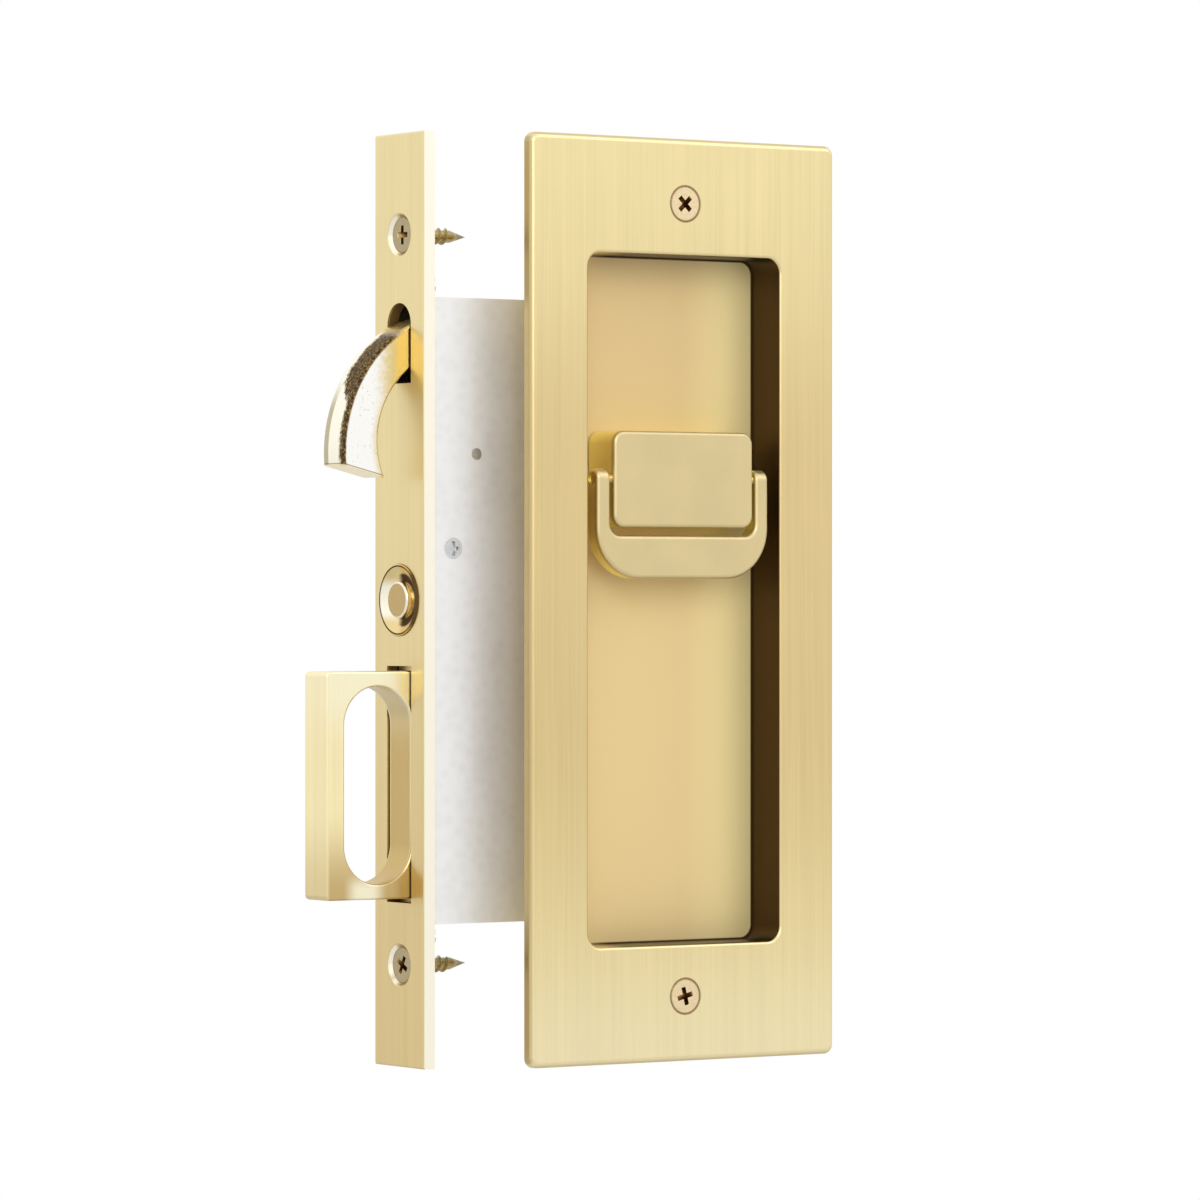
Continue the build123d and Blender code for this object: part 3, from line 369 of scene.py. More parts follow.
def brushed(place, finishes, pale, deep=None):
    """Upright brush lines: their colour, roughness and height. Deep says where painted shade makes the brass
    darker and yellower.
    """
    pitch = finishes.brush_pitch
    fine = place.noise(1.0, 3.0, (1 / pitch, 1 / pitch, 0.008 / pitch))
    broad = place.noise(1.0, 2.0, (0.22 / pitch, 0.22 / pitch, 0.003 / pitch))
    cloud = place.noise(35.0, 2.0)
    streak = (fine * 0.45 + broad * 0.35 + cloud * 0.2).ease(*NOISE_RANGE)
    color = streak.shade(pale, 0.94, 1.04)
    if deep:
        color = deep.blend(color, streak.shade(finishes.satin_shaded, 0.94, 1.04))
    roughness = (fine - 0.5) * 0.16 + finishes.satin_roughness
    return color, roughness, fine * 0.7 + broad * 0.3


def screw_radius(parts, node, axis):
    """Distance from the axis of the nearer screw of a pair, and the heads' radius."""
    low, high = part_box(node)
    head_r = (high[1 - axis] - low[1 - axis]) / 2
    across = parts[1 - axis] - middle(node)[1 - axis]
    along = abs(parts[2] - middle(node).z) - (high.z - low.z) / 2 + head_r
    return off_axis(across, along), head_r


def plate_brass(finishes):
    """Brushed brass of the edge plate, with painted shade towards its bottom, in its slots and round its screws,
    and painted highlights on its sides and on one side of each screw dish.
    """
    made, place = new_material("plate_brass")
    low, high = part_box("edge_plate")
    x, y, z = place.split()
    # Painted shade: the plate darker and yellower towards the bottom
    deep = 1 - z.ease(low.z, high.z * 0.6)
    color, roughness, height = brushed(place, finishes, finishes.satin, deep)
    off_screw, head_r = screw_radius((x, y, z), "edge_plate_screws", 0)
    front = 1 - x.ease(low.x + 1.5 * MM, low.x + 1.9 * MM)
    dish = front * (1 - off_screw.ease(head_r + 0.7 * MM, head_r + 0.9 * MM))

    # Painted shade on the walls of the slots, and not the back or the ends
    sunk = x.ease(low.x + 0.2 * MM, low.x + 0.6 * MM)
    sunk = sunk * (1 - x.ease(high.x - 0.15 * MM, high.x - 0.03 * MM)) * (1 - dish)
    sunk = sunk * (1 - abs(z).ease(high.z - 0.4 * MM, high.z - 0.2 * MM))
    color = sunk.blend(color, finishes.slot)

    # Dishes, with a painted highlight on one side and a ring of painted shade on the other
    painted_highlight = dish * y.ease(0.8 * MM, 2.2 * MM) * x.ease(low.x + 0.05 * MM, low.x + 0.2 * MM)
    color = painted_highlight.blend(color, finishes.painted_highlight)
    ring = 1 - abs(off_screw - head_r - 0.2 * MM).ease(0.15 * MM, 0.4 * MM)
    ring = ring * (1 - y.ease(-0.2 * MM, 1.6 * MM)) * front
    color = (ring * 0.8).blend(color, finishes.ring)

    # Painted highlight on the side strips of the plate
    side = abs(y).ease(high.y - 0.25 * MM, high.y - 0.10 * MM)
    color = side.blend(color, finishes.painted_highlight)
    # The painted shade in the rings and the slots also takes away gloss
    covered = (ring + sunk * (1 - side)) * 0.7
    close_metal(place, color, roughness, height, 0.10, 0.05 * MM, 1 - covered, 0.2)
    return made


def pull_brass(finishes):
    """Brushed brass of the edge pull, with painted light at its upper end and below the finger hole, and painted
    shade at its lower end and on the walls of the finger hole.
    """
    made, place = new_material("pull_brass")
    low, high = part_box("edge_pull")
    centre = middle("edge_pull")
    x, y, z = place.split()
    color, roughness, height = brushed(place, finishes, finishes.pull)

    # Painted light and shade: paler towards the top and darker and yellower towards the bottom, half as much on
    # the front
    flank = 1 - (1 - x.ease(low.x + 0.3 * MM, low.x + 1.0 * MM)) * 0.5
    rise = z.ease(centre.z + 6 * MM, high.z - 6 * MM)
    fall = 1 - z.ease(low.z + 4 * MM, centre.z - 4 * MM)
    color = (rise * 0.7 * flank).blend(color, finishes.pull_top)
    color = (fall * flank).blend(color, finishes.pull_bottom)

    # Painted highlight below the finger hole
    glint_x = low.x + 9.2 * MM
    glint = 1 - abs(x - glint_x).ease(1.5 * MM, 5.5 * MM)
    glint = glint * (1 - z.ease(low.z + 5 * MM, low.z + 9 * MM))
    color = (glint * 0.9).blend(color, finishes.pull_top)

    # Painted shade on the walls of the finger hole, with painted light towards the top
    inside = x.ease(low.x + 0.7 * MM, low.x + 1.2 * MM)
    inside = inside * (1 - abs(y).ease(high.y - 0.8 * MM, high.y - 0.4 * MM))
    wall = (rise * 0.35).blend(finishes.pull_hole_shade, finishes.pull_top)
    close_metal(place, inside.blend(color, wall), roughness, height, 0.08, 0.05 * MM)
    return made


def flush_brass(finishes):
    """Brushed brass of the flush pull, with painted light and shade on its face, painted shade on the wall of its
    recess and painted light on the recess floor.
    """
    made, place = new_material("flush_brass")
    low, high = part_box("flush_pull")
    front = low.y
    floor_y = front + RECESS_DEPTH
    half = (high - low) / 2
    centre = middle("flush_pull")
    x, y, z = place.split()
    right, up = x - centre.x, z - centre.z
    # Painted shade: the face darker towards the middle of its height
    deep = 1 - abs(up).ease(25 * MM, 88 * MM)
    color, roughness, height = brushed(place, finishes, finishes.satin, deep)

    # Painted light on the foot, and painted shade on the rim and the left side
    foot = 1 - z.ease(low.z, low.z + 32 * MM)
    color = (foot * 0.25).blend(color, finishes.pull_top)
    past_edge = (abs(right) - half.x).at_least(abs(up) - half.z)
    rim = past_edge.ease(-0.8 * MM, -0.2 * MM)
    color = (rim * 0.7).blend(color, tint(finishes.satin_shaded, 0.8))
    side = 1 - x.ease(low.x + 0.1 * MM, low.x + 0.5 * MM)
    side = side * y.ease(front + 0.5 * MM, front + 1.2 * MM)
    color = side.blend(color, tint(finishes.satin_shaded, 0.72))

    # Painted shade in the rings round the screws, where the heads meet the plate
    off_screw, head_r = screw_radius((x, y, z), "flush_pull_screws", 1)
    ring = (1 - abs(off_screw - head_r).ease(0.15 * MM, 0.35 * MM)) * 0.85
    ring = ring * (1 - y.ease(front + 1.0 * MM, front + 1.4 * MM))
    color = ring.blend(color, finishes.ring)

    # Floor of the recess, with painted light that makes it paler to the right and below
    over_x = (abs(right) - (RECESS_HALF_X - RECESS_CORNER)).at_least(0)
    over_z = (abs(up) - (RECESS_HALF_Z - RECESS_CORNER)).at_least(0)
    past_wall = off_axis(over_x, over_z) - RECESS_CORNER
    sunk = 1 - past_wall.ease(0.9 * MM, 1.2 * MM)
    floor = sunk * y.ease(floor_y - 0.5 * MM, floor_y - 0.1 * MM)
    pale = tint(finishes.recess_floor, 1.4)
    even = right.ease(RECESS_HALF_X * 0.2, RECESS_HALF_X * 0.85).blend(finishes.recess_floor, pale)
    lower = 1 - up.ease(5 * MM, 55 * MM)
    color = floor.blend(color, (lower * 0.25).blend(even, pale))

    # Painted shade on the walls of the recess, all round but at the left
    wall = sunk * past_wall.ease(-0.5 * MM, -0.2 * MM)
    wall = wall * right.ease(-RECESS_HALF_X * 0.98, -RECESS_HALF_X * 0.5)
    wall = wall * y.ease(front + 0.1 * MM, front + 0.5 * MM) * (1 - y.ease(floor_y, floor_y + 0.3 * MM))
    color = wall.blend(color, finishes.recess_wall_shade)

    metallic = 1 - floor * 0.7 - ring * 0.8
    close_metal(place, color, roughness + floor * 0.2, height, 0.10, 0.05 * MM, metallic, 0.2)
    return made


def matte_grain(place):
    """A fine even grain, and the mottle that it makes with broad clouds."""
    grain = place.noise(GRAIN, 3.0)
    cloud = place.noise(90.0, 2.0)
    return grain, (grain * 0.4 + cloud * 0.6).ease(*NOISE_RANGE)


def turn_brass(finishes):
    """Smooth matte fronts of the boss and the bail, with a painted reflection that makes their sides yellower."""
    made, place = new_material("turn_brass")
    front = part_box("turn_boss")[0].y
    grain, mottle = matte_grain(place)
    # Painted reflection: the sides yellower and brighter than the fronts
    side = place.split()[1].ease(front + 0.9 * MM, front + 1.6 * MM)
    color = side.blend(mottle.shade(finishes.turn, 0.96, 1.03), finishes.turn_side_lit)
    close_metal(place, color, (grain - 0.5) * 0.14 + 0.44, grain, 0.08, 0.03 * MM)
    return made


def pin_brass(finishes):
    """Smooth brass of the bail's pin."""
    made, place = new_material("pin_brass")
    grain, mottle = matte_grain(place)
    color = mottle.shade(finishes.polish, 0.95, 1.04)
    close_metal(place, color, (grain - 0.5) * 0.14 + 0.22, grain, 0.08, 0.03 * MM)
    return made


def button_brass(finishes):
    """Matte face with a fine grain, and a painted highlight round its edge."""
    made, place = new_material("button_brass")
    _, y, z = place.split()
    grain = place.noise(GRAIN, 3.0)
    face = grain.ease(*NOISE_RANGE).shade(finishes.button, 0.93, 1.06)
    radius = off_axis(y, z - middle("button_bushing").z)
    # Painted highlight round the button's edge
    edge = radius.ease(BUTTON_R - 0.50 * MM, BUTTON_R - 0.30 * MM)
    color = edge.blend(face, finishes.painted_highlight)
    close_metal(place, color, grain * 0.14 + 0.27 - edge * 0.10, grain, 0.08, 0.03 * MM)
    return made


def bushing_brass(finishes):
    """Buffed brass with faint swirl marks, a painted highlight on one side of the dish and painted shade on the
    other.
    """
    made, place = new_material("bushing_brass")
    outer_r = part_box("button_bushing")[1].y
    _, y, z = place.split()
    up = z - middle("button_bushing").z
    radius = off_axis(y, up)
    swirl = place.noise(900.0, 4.0)
    cloud = place.noise(140.0, 2.0)
    color = cloud.ease(*NOISE_RANGE).shade(finishes.polish, 0.93, 1.05)
    # Painted shade on the -Y side of the dish, painted highlight on the +Y side
    color = y.ease(0.8 * MM, -2.0 * MM).blend(color, finishes.polish_shaded)
    painted_highlight = (y + cloud * MM).ease(0.8 * MM, 3.0 * MM) * (1 - abs(up).ease(2.4 * MM, 5.0 * MM))
    color = painted_highlight.blend(color, finishes.painted_highlight)

    # Painted shade: a crescent in the dish, the groove behind the lip, the foot and one side of the lip
    crescent_out = off_axis(y + 1.2 * MM, up)
    crescent_in = off_axis(y + 0.9 * MM, up * 1.2884)
    crescent = (1 - crescent_out.ease(5.1 * MM, 5.7 * MM)) * crescent_in.ease(4.3 * MM, 5.0 * MM)
    groove = 1 - abs(radius - outer_r + 0.5 * MM).ease(0.06 * MM, 0.24 * MM)
    foot = radius.ease(outer_r - 0.15 * MM, outer_r - 0.05 * MM) * 0.7
    lip = y.ease(-3.5 * MM, -5.5 * MM) * radius.ease(outer_r - 1.4 * MM, outer_r - 1.1 * MM) * 0.9
    dark = crescent * y.ease(1.4 * MM, -0.9 * MM)
    for mask in (groove, foot, lip):
        dark = dark.at_least(mask)
    color = dark.blend(color, finishes.painted_shade)
    close_metal(place, color, swirl * 0.10 + dark * 0.3 + 0.13, swirl, 0.05, 0.02 * MM, 1 - dark, 0.05)
    return made


def hook_brass(finishes):
    """Ground sides painted near-white as a reflection, and a back that goes from dark painted shade, grained like
    scale, at the top to a painted highlight at the tip.
    """
    made, place = new_material("hook_brass")
    pivot = Vector(JOINTS["hook_swing"]["pos_m"])
    low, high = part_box("hook_bolt")
    back_r = high.z - pivot.z
    x, y, z = place.split()
    right, up = x - pivot.x, z - pivot.z
    pits = place.noise(1100.0, 5.0)
    crackle = place.noise(650.0, 3.0)
    specks = place.noise(1700.0, 2.0).ease(0.62, 0.74)
    flecks = place.noise(2200.0, 4.0).ease(0.42, 0.74)

    # Sides: a near-white painted reflection, yellower at the slot and along the throat
    root = (x + pits * 3 * MM).ease(-10.2 * MM, -4.7 * MM)
    off_throat = off_axis(right + 3.2 * MM, up - 2.4 * MM) + pits * MM
    root = root.at_least((1 - off_throat.ease(18.4 * MM, 20.8 * MM)) * 0.7)
    side = root.blend(finishes.hook, finishes.hook_root)
    side = (specks * 0.5).blend(side, tint(finishes.hook_root, 0.8))

    # Back: a band of painted shade, grained and flecked like scale, along the near edge that widens towards the
    # slot; the rest a painted highlight, gold near the slot
    back = (off_axis(right, up) + pits * 0.2 * MM).ease(back_r - 0.75 * MM, back_r - 0.35 * MM)
    slot_end = (x + pits * 2 * MM).ease(-6.0 * MM, -2.5 * MM)
    widening = (up + crackle * 5 * MM).ease(12 * MM, 18.5 * MM)
    past_band = y - low.y - 0.6 * MM - widening * 4.4 * MM - crackle * 1.3 * MM + flecks * 0.5 * MM
    band = (1 - past_band.ease(-0.2 * MM, 1.0 * MM)) * (1 - slot_end * 0.8)
    scale = flecks.blend(tint(finishes.scale_and_shade, 0.5), finishes.hook_fleck)
    painted_highlight = slot_end.blend(finishes.painted_highlight, finishes.hook_root)
    color = back.blend(side, band.blend(painted_highlight, scale))
    # Darker along the far edge of the back, low down
    far = y.ease(high.y - 2.3 * MM, high.y - 2.0 * MM) * back * (1 - up.ease(8 * MM, 16 * MM))
    color = (far * 0.85).blend(color, finishes.hook_far)

    # Flat tip, with a line of painted shade along its edge
    slope = (TIP_IN[1] - TIP_OUT[1]) / (TIP_IN[0] - TIP_OUT[0])
    above_tip = z - (x - TIP_OUT[0]) * slope - TIP_OUT[1]
    color = (1 - above_tip.ease(0.05 * MM, 0.20 * MM)).blend(color, finishes.hook_tip)
    line = (1 - abs(above_tip - 0.30 * MM).ease(0.05 * MM, 0.20 * MM)) * 0.7
    color = line.blend(color, tint(finishes.scale_and_shade, 2.5))

    dark = back * band
    roughness = dark * 0.30 + pits * 0.10 + 0.16
    height = specks * (1 - back) * 0.3 + pits * dark
    close_metal(place, color, roughness, height, 0.25, 0.10 * MM, 1 - dark * 0.8, 0.1)
    return made


def screw_brass(head, recess, node, axis):
    """Turned brass with painted shade down the cross recess and at the rim. Axis 0 is X, 1 is Y."""
    made, place = new_material(f"{node}_brass")
    parts = place.split()
    radius, head_r = screw_radius(parts, node, axis)
    depth = parts[axis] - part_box(node)[0][axis]
    lathe = place.noise(1500.0, 3.0)
    bright = lathe.ease(*NOISE_RANGE).shade(head, 0.94, 1.05)
    inside = 1 - radius.ease(0.66 * head_r, 0.72 * head_r)
    # Painted shade down the cross recess and at the rim of the head
    dark = depth.ease(0.05 * MM, 0.45 * MM) * inside * (1 - depth.ease(3.0 * MM, 3.4 * MM))
    rim = radius.ease(head_r - 0.40 * MM, head_r - 0.15 * MM)
    color = dark.at_least(rim * 0.8).blend(bright, recess)
    close_metal(place, color, lathe * 0.12 + 0.22, lathe, 0.06, 0.03 * MM)
    return made


def zinc_plate(finishes):
    """Bright zinc on folded sheet, with a faint spangle outside and painted shade inside."""
    made, place = new_material("zinc_plate")
    spangle = {"Vector": place, "Scale": 420.0}
    cells = place.node("ShaderNodeTexVoronoi", {"feature": "F1"}, spangle, "Distance")
    cloud = place.noise(60.0, 3.0)
    color = (cells * 0.5 + cloud * 0.5).ease(0.2, 0.7).shade(finishes.zinc, 0.97, 1.03)

    # The cover is as long and wide as the case, without its ears
    low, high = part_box("case_cover")
    high.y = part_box("lock_case")[1].y
    inside = 1
    for part, least, most in zip(place.split(), low, high):
        reach = (most - least) / 2 - HALF_SHEET
        off_middle = abs(part - (least + most) / 2)
        inside = (1 - off_middle.ease(reach - 0.2 * MM, reach)) * inside
    # Painted shade on the inside of the case
    color = inside.blend(color, finishes.case_shade)
    close_metal(place, color, cloud * 0.16 + 0.40, cells, 0.02, 0.02 * MM, 0.6 - inside * 0.6, 0.2)
    return made


def bright_steel(name, color, roughness):
    """Turned or drawn steel."""
    made, place = new_material(name)
    marks = place.noise(1800.0, 3.0)
    shaded = marks.ease(*NOISE_RANGE).shade(color, 0.90, 1.06)
    close_metal(place, shaded, marks * 0.15 + roughness, marks, 0.06, 0.02 * MM)
    return made


def dress(material, *nodes):
    """Gives a material to CAD nodes."""
    for node in nodes:
        slots = frame["nodes"][node].data.materials
        slots.clear()
        slots.append(material)


def make_mesh(name, maker):
    """A mesh with merged vertices and outward normals."""
    bm = bmesh.new()
    maker(bm)
    bmesh.ops.remove_doubles(bm, verts=bm.verts, dist=MERGE)
    bmesh.ops.recalc_face_normals(bm, faces=bm.faces)
    mesh = bpy.data.meshes.new(name)
    bm.to_mesh(mesh)
    bm.free()
    return mesh


def add_piece(name, maker, material, body, slot, *replaced):
    """Makes a mesh object that rides on a body, if one is given, and stands for CAD nodes."""
    mesh = make_mesh(name, maker)
    mesh.materials.append(material)
    piece = bpy.data.objects.new(name, mesh)
    bpy.context.scene.collection.objects.link(piece)
    if body:
        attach(piece, body)
    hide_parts(*replaced)
    return piece


def smooth(piece):
    """Shades a piece smooth."""
    for polygon in piece.data.polygons:
        polygon.use_smooth = True


def soften(piece, width):
    """Rounds the sharp edges of a piece and shades it smooth."""
    bevel = piece.modifiers.new("edge_round", "BEVEL")
    bevel.width = width
    bevel.segments = 2
    bevel.limit_method = "ANGLE"
    bevel.angle_limit = radians(35)
    bevel.harden_normals = True
    smooth(piece)


def only_edges(geometry):
    """The edges among vertices and edges."""
    return [item for item in geometry if isinstance(item, bmesh.types.BMEdge)]


def profile(bm, points):
    """A line through points of (radius, height) in the XZ plane."""
    verts = [bm.verts.new((radius, 0, height)) for radius, height in points]
    return verts + [bm.edges.new(pair) for pair in zip(verts, verts[1:])]


def cross_cutter(bm, reach, width, depth):
    """Two tapered wings that cut a cross recess from the head's face down."""
    narrowed = (0.35, 0.55, 1)
    for turn in (0, QUARTER):
        cube = bmesh.ops.create_cube(bm, size=1.0)["verts"]
        bmesh.ops.scale(bm, verts=cube, vec=(2 * reach, width, 2 * depth))
        deep = [vert for vert in cube if vert.co.z < 0]
        bmesh.ops.scale(bm, verts=deep, vec=narrowed)
        bmesh.ops.rotate(bm, verts=cube, matrix=Matrix.Rotation(turn, 3, "Z"), cent=ORIGIN)


def screw_body(bm, screws, head_r, shank_r, length):
    """Countersunk head, plain shank, thinner root and a point, down from the origin."""
    neck = head_r - shank_r
    root_r = shank_r * screws.root_share
    plain = neck + (length - neck) * screws.plain_share
    rim = 0.12 * MM
    outline = [
        (0, 0),
        (head_r - rim * 0.5, 0),
        (head_r, -rim),
        (shank_r, -neck - rim),
        (shank_r, -plain),
        (root_r, -plain - shank_r * TAPER),
        (root_r, -length + shank_r * POINT),
        (0, -length),
    ]
    line = profile(bm, outline)
    bmesh.ops.spin(bm, geom=line, cent=ORIGIN, axis=(0, 0, 1), angle=tau, steps=40, use_merge=True)


def screw_thread(bm, screws, head_r, shank_r, length):
    """The thread between the plain shank and the point, sunk a little into the root."""
    neck = head_r - shank_r
    pitch = screws.pitch
    inner_r = shank_r * screws.root_share * THREAD_INNER
    top = -neck - (length - neck) * screws.plain_share - shank_r * TAPER
    turns = int((length - shank_r * POINT + top) / pitch)
    crest, foot = top - pitch * THREAD_CREST, top - pitch * THREAD_FOOT
    flank = profile(bm, [(inner_r, top), (shank_r, crest), (inner_r, foot)])
    flank.append(bm.edges.new((flank[2], flank[0])))
    made = bmesh.ops.spin(
        bm,
        geom=flank,
        cent=ORIGIN,
        axis=(0, 0, 1),
        dvec=(0, 0, -pitch / THREAD_STEPS),
        angle=tau * turns,
        steps=THREAD_STEPS * turns,
    )
    for end in (flank, made["geom_last"]):
        bmesh.ops.contextual_create(bm, geom=only_edges(end))


def finish_screw(piece, cross, thread):
    """Cuts the cross recess into a screw's head, then adds its thread."""
    cutter = bpy.data.objects.new("recess_cutter", cross)
    bpy.context.scene.collection.objects.link(cutter)
    cut = piece.modifiers.new("recess", "BOOLEAN")
    cut.object = cutter
    cut.operation = "DIFFERENCE"
    cut.solver = "EXACT"
    cut.use_self = True
    bpy.context.view_layer.update()
    made = bpy.data.meshes.new_from_object(piece.evaluated_get(bpy.context.evaluated_depsgraph_get()))
    piece.modifiers.clear()
    bm = bmesh.new()
    bm.from_mesh(made)
    bmesh.ops.recalc_face_normals(bm, faces=bm.faces)
    bm.from_mesh(thread)
    bm.to_mesh(made)
    bm.free()
    piece.data = made
    bpy.data.objects.remove(cutter)
    bpy.data.meshes.remove(cross)
    bpy.data.meshes.remove(thread)


def coil(bm, start, length, radius, wire_r, turns):
    """A compression spring along +X with closed ends."""
    ring = bmesh.ops.create_circle(bm, segments=10, radius=wire_r)["verts"]
    bmesh.ops.rotate(bm, verts=ring, matrix=Matrix.Rotation(QUARTER, 3, "X"), cent=ORIGIN)
    bmesh.ops.translate(bm, verts=ring, vec=start + Vector((0, 0, radius)))
    section = list({edge for vert in ring for edge in vert.link_edges})
    closed = 2.1 * wire_r
    open_pitch = (length - 2 * wire_r - 2 * closed) / (turns - 2)
    for pitch, count in ((closed, 1), (open_pitch, turns - 2), (closed, 1)):
        made = bmesh.ops.spin(
            bm,
            geom=section,
            cent=start,
            axis=(1, 0, 0),
            dvec=(pitch / COIL_STEPS, 0, 0),
            angle=tau * count,
            steps=COIL_STEPS * count,
        )
        section = only_edges(made["geom_last"])


def leaf(bm, low, high):
    """A flat leaf spring, cut across along X."""
    size = high - low
    place = Matrix.Translation((low + high) / 2) @ Matrix.Diagonal(size).to_4x4()
    bmesh.ops.create_cube(bm, size=1, matrix=place)
    along = [edge for edge in bm.edges if abs(edge.verts[0].co.x - edge.verts[1].co.x) > size.x / 2]
    bmesh.ops.subdivide_edges(bm, edges=along, cuts=16, use_grid_fill=True)


def bushing(bm, low, high, seat_x, bore_r):
    """Rounded lip, shallow dish, bore and tail, spun round X."""
    outer_r = high.y
    lip_r = outer_r - 0.45 * MM
    body_r = outer_r - 0.85 * MM
    proud = seat_x - low.x
    depth = 1.0 * MM
    turns = [QUARTER * step / LIP_STEPS for step in range(LIP_STEPS + 1)]
    lip = [(seat_x - proud * sin(turn), lip_r + (outer_r - lip_r) * cos(turn)) for turn in turns]
    falls = [step / BOWL_STEPS for step in range(1, BOWL_STEPS + 1)]
    bowl = [(low.x + depth * (1 - (1 - fall) ** 1.4), lip_r + (bore_r - lip_r) * fall) for fall in falls]
    rest = [(high.x, bore_r), (high.x, body_r), (seat_x, body_r), (seat_x, outer_r)]
    verts = [bm.verts.new((x, 0, radius)) for x, radius in lip + bowl + rest]
    line = verts + [bm.edges.new(pair) for pair in zip(verts, verts[1:])]
    bmesh.ops.spin(bm, geom=line, cent=ORIGIN, axis=(1, 0, 0), angle=tau, steps=96, use_merge=True)
    bmesh.ops.translate(bm, verts=bm.verts, vec=(0, 0, (low.z + high.z) / 2))


class LOCKSET_OT_plates(bpy.types.Operator):
    """Finish the edge plate, the edge pull and the flush pull"""

    bl_idname = "lockset.plates"
    bl_label = "Plates and pulls"

    def execute(self, context):
        finishes = context.scene.lockset_finishes
        dress(plate_brass(finishes), "edge_plate")
        dress(pull_brass(finishes), "edge_pull")
        dress(flush_brass(finishes), "flush_pull")
        return {"FINISHED"}


class LOCKSET_OT_turn(bpy.types.Operator):
    """Finish the boss, the bail and its pin"""

    bl_idname = "lockset.turn"
    bl_label = "Privacy turn"

    def execute(self, context):
        finishes = context.scene.lockset_finishes
        dress(turn_brass(finishes), "turn_boss", "turn_bail")
        dress(pin_brass(finishes), "bail_pin")
        return {"FINISHED"}


class LOCKSET_OT_hook(bpy.types.Operator):
    """Finish the hook bolt"""

    bl_idname = "lockset.hook"
    bl_label = "Hook bolt"

    def execute(self, context):
        dress(hook_brass(context.scene.lockset_finishes), "hook_bolt")
        return {"FINISHED"}


class LOCKSET_OT_button(bpy.types.Operator):
    """Finish the release button and its bushing"""

    bl_idname = "lockset.button"
    bl_label = "Release button"

    def execute(self, context):
        finishes = context.scene.lockset_finishes
        low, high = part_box("button_bushing")
        seat_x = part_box("edge_plate")[0].x

        def maker(bm):
            bushing(bm, low, high, seat_x, BUTTON_R + BUTTON_PLAY)

        brass = bushing_brass(finishes)
        ring = add_piece("button_bushing_ring", maker, brass, "lockset", "polished_brass", "button_bushing")
        soften(ring, 0.05 * MM)
        dress(button_brass(finishes), "release_button")
        return {"FINISHED"}


class LOCKSET_OT_screws(bpy.types.Operator):
    """Build the wood screws of both plates, with cross recesses and threads"""

    bl_idname = "lockset.screws"
    bl_label = "Wood screws"

    def execute(self, context):
        finishes = context.scene.lockset_finishes
        edge_r = MOUNTS["edge_screws"]["stud_r_mm"] * MM
        face_r = MOUNTS["face_screws"]["stud_r_mm"] * MM
        edge_brass = screw_brass(finishes.screw_darker, finishes.screw_recess_shade, "edge_plate_screws", 0)
        face_brass = screw_brass(finishes.screw, finishes.screw_recess_shade, "flush_pull_screws", 1)
        self.pair(context, "edge_plate_screws", 0, edge_r, edge_brass, EDGE_TURNS)
        self.pair(context, "flush_pull_screws", 1, face_r, face_brass, FACE_TURNS)
        return {"FINISHED"}

    def pair(self, context, node, axis, shank_r, material, angles):
        """The upper and the lower screw that stand for one CAD node."""
        screws = context.scene.lockset_screws
        low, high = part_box(node)
        across = 1 - axis
        head_r = (high[across] - low[across]) / 2
        length = high[axis] - low[axis]
        turn = Matrix.Rotation(-QUARTER, 4, "Y") if axis == 0 else Matrix.Rotation(QUARTER, 4, "X")
        heights = high.z - head_r, low.z + head_r
        for label, height, angle in zip(("upper", "lower"), heights, angles):
            place = middle(node)
            place[axis] = low[axis]
            place.z = height
            matrix = Matrix.Translation(place) @ turn @ Matrix.Rotation(radians(angle), 4, "Z")

            def body(bm):
                screw_body(bm, screws, head_r, shank_r, length)
                bm.transform(matrix)

            def cross(bm):
                reach, width = head_r * screws.recess_reach, head_r * screws.recess_width
                cross_cutter(bm, reach, width, head_r * screws.recess_depth)
                bm.transform(matrix)

            def thread(bm):
                screw_thread(bm, screws, head_r, shank_r, length)
                bm.transform(matrix)

            name = f"{node[:-1]}_{label}"
            piece = add_piece(name, body, material, "lockset", "screw_brass", node)
            finish_screw(piece, make_mesh("cross", cross), make_mesh("thread", thread))
            soften(piece, 0.06 * MM)


class LOCKSET_OT_springs(bpy.types.Operator):
    """Build the coil springs and the catch's leaf, and finish the detent's leaf"""

    bl_idname = "lockset.springs"
    bl_label = "Springs"

    def execute(self, context):
        steel = bright_steel("spring_wire", context.scene.lockset_finishes.wire, 0.22)
        for settings in COILS:
            self.compressed(*settings, steel)
        self.bent(steel)
        dress(steel, "detent_spring")
        return {"FINISHED"}

    def compressed(self, node, joint, wire_r, turns, steel):
        """A coil spring that fills its node's box along X. The joint is not used."""
        low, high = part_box(node)
        length = high.x - low.x
        radius = (high.y - low.y) / 2 - wire_r
        centre = middle(node)
        start = Vector((low.x + wire_r, centre.y, centre.z))

        def maker(bm):
            coil(bm, start, length, radius, wire_r, turns)

        piece = add_piece(f"{node}_coil", maker, steel, "lockset", "spring_steel", node)
        smooth(piece)
        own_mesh(piece)

    def bent(self, steel):
        """The catch's leaf, which its post holds and the catch lifts, built fixed in place."""
        low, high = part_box("catch_spring")

        def maker(bm):
            leaf(bm, low, high)

        piece = add_piece("catch_spring_leaf", maker, steel, None, "spring_steel", "catch_spring")
        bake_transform(piece)


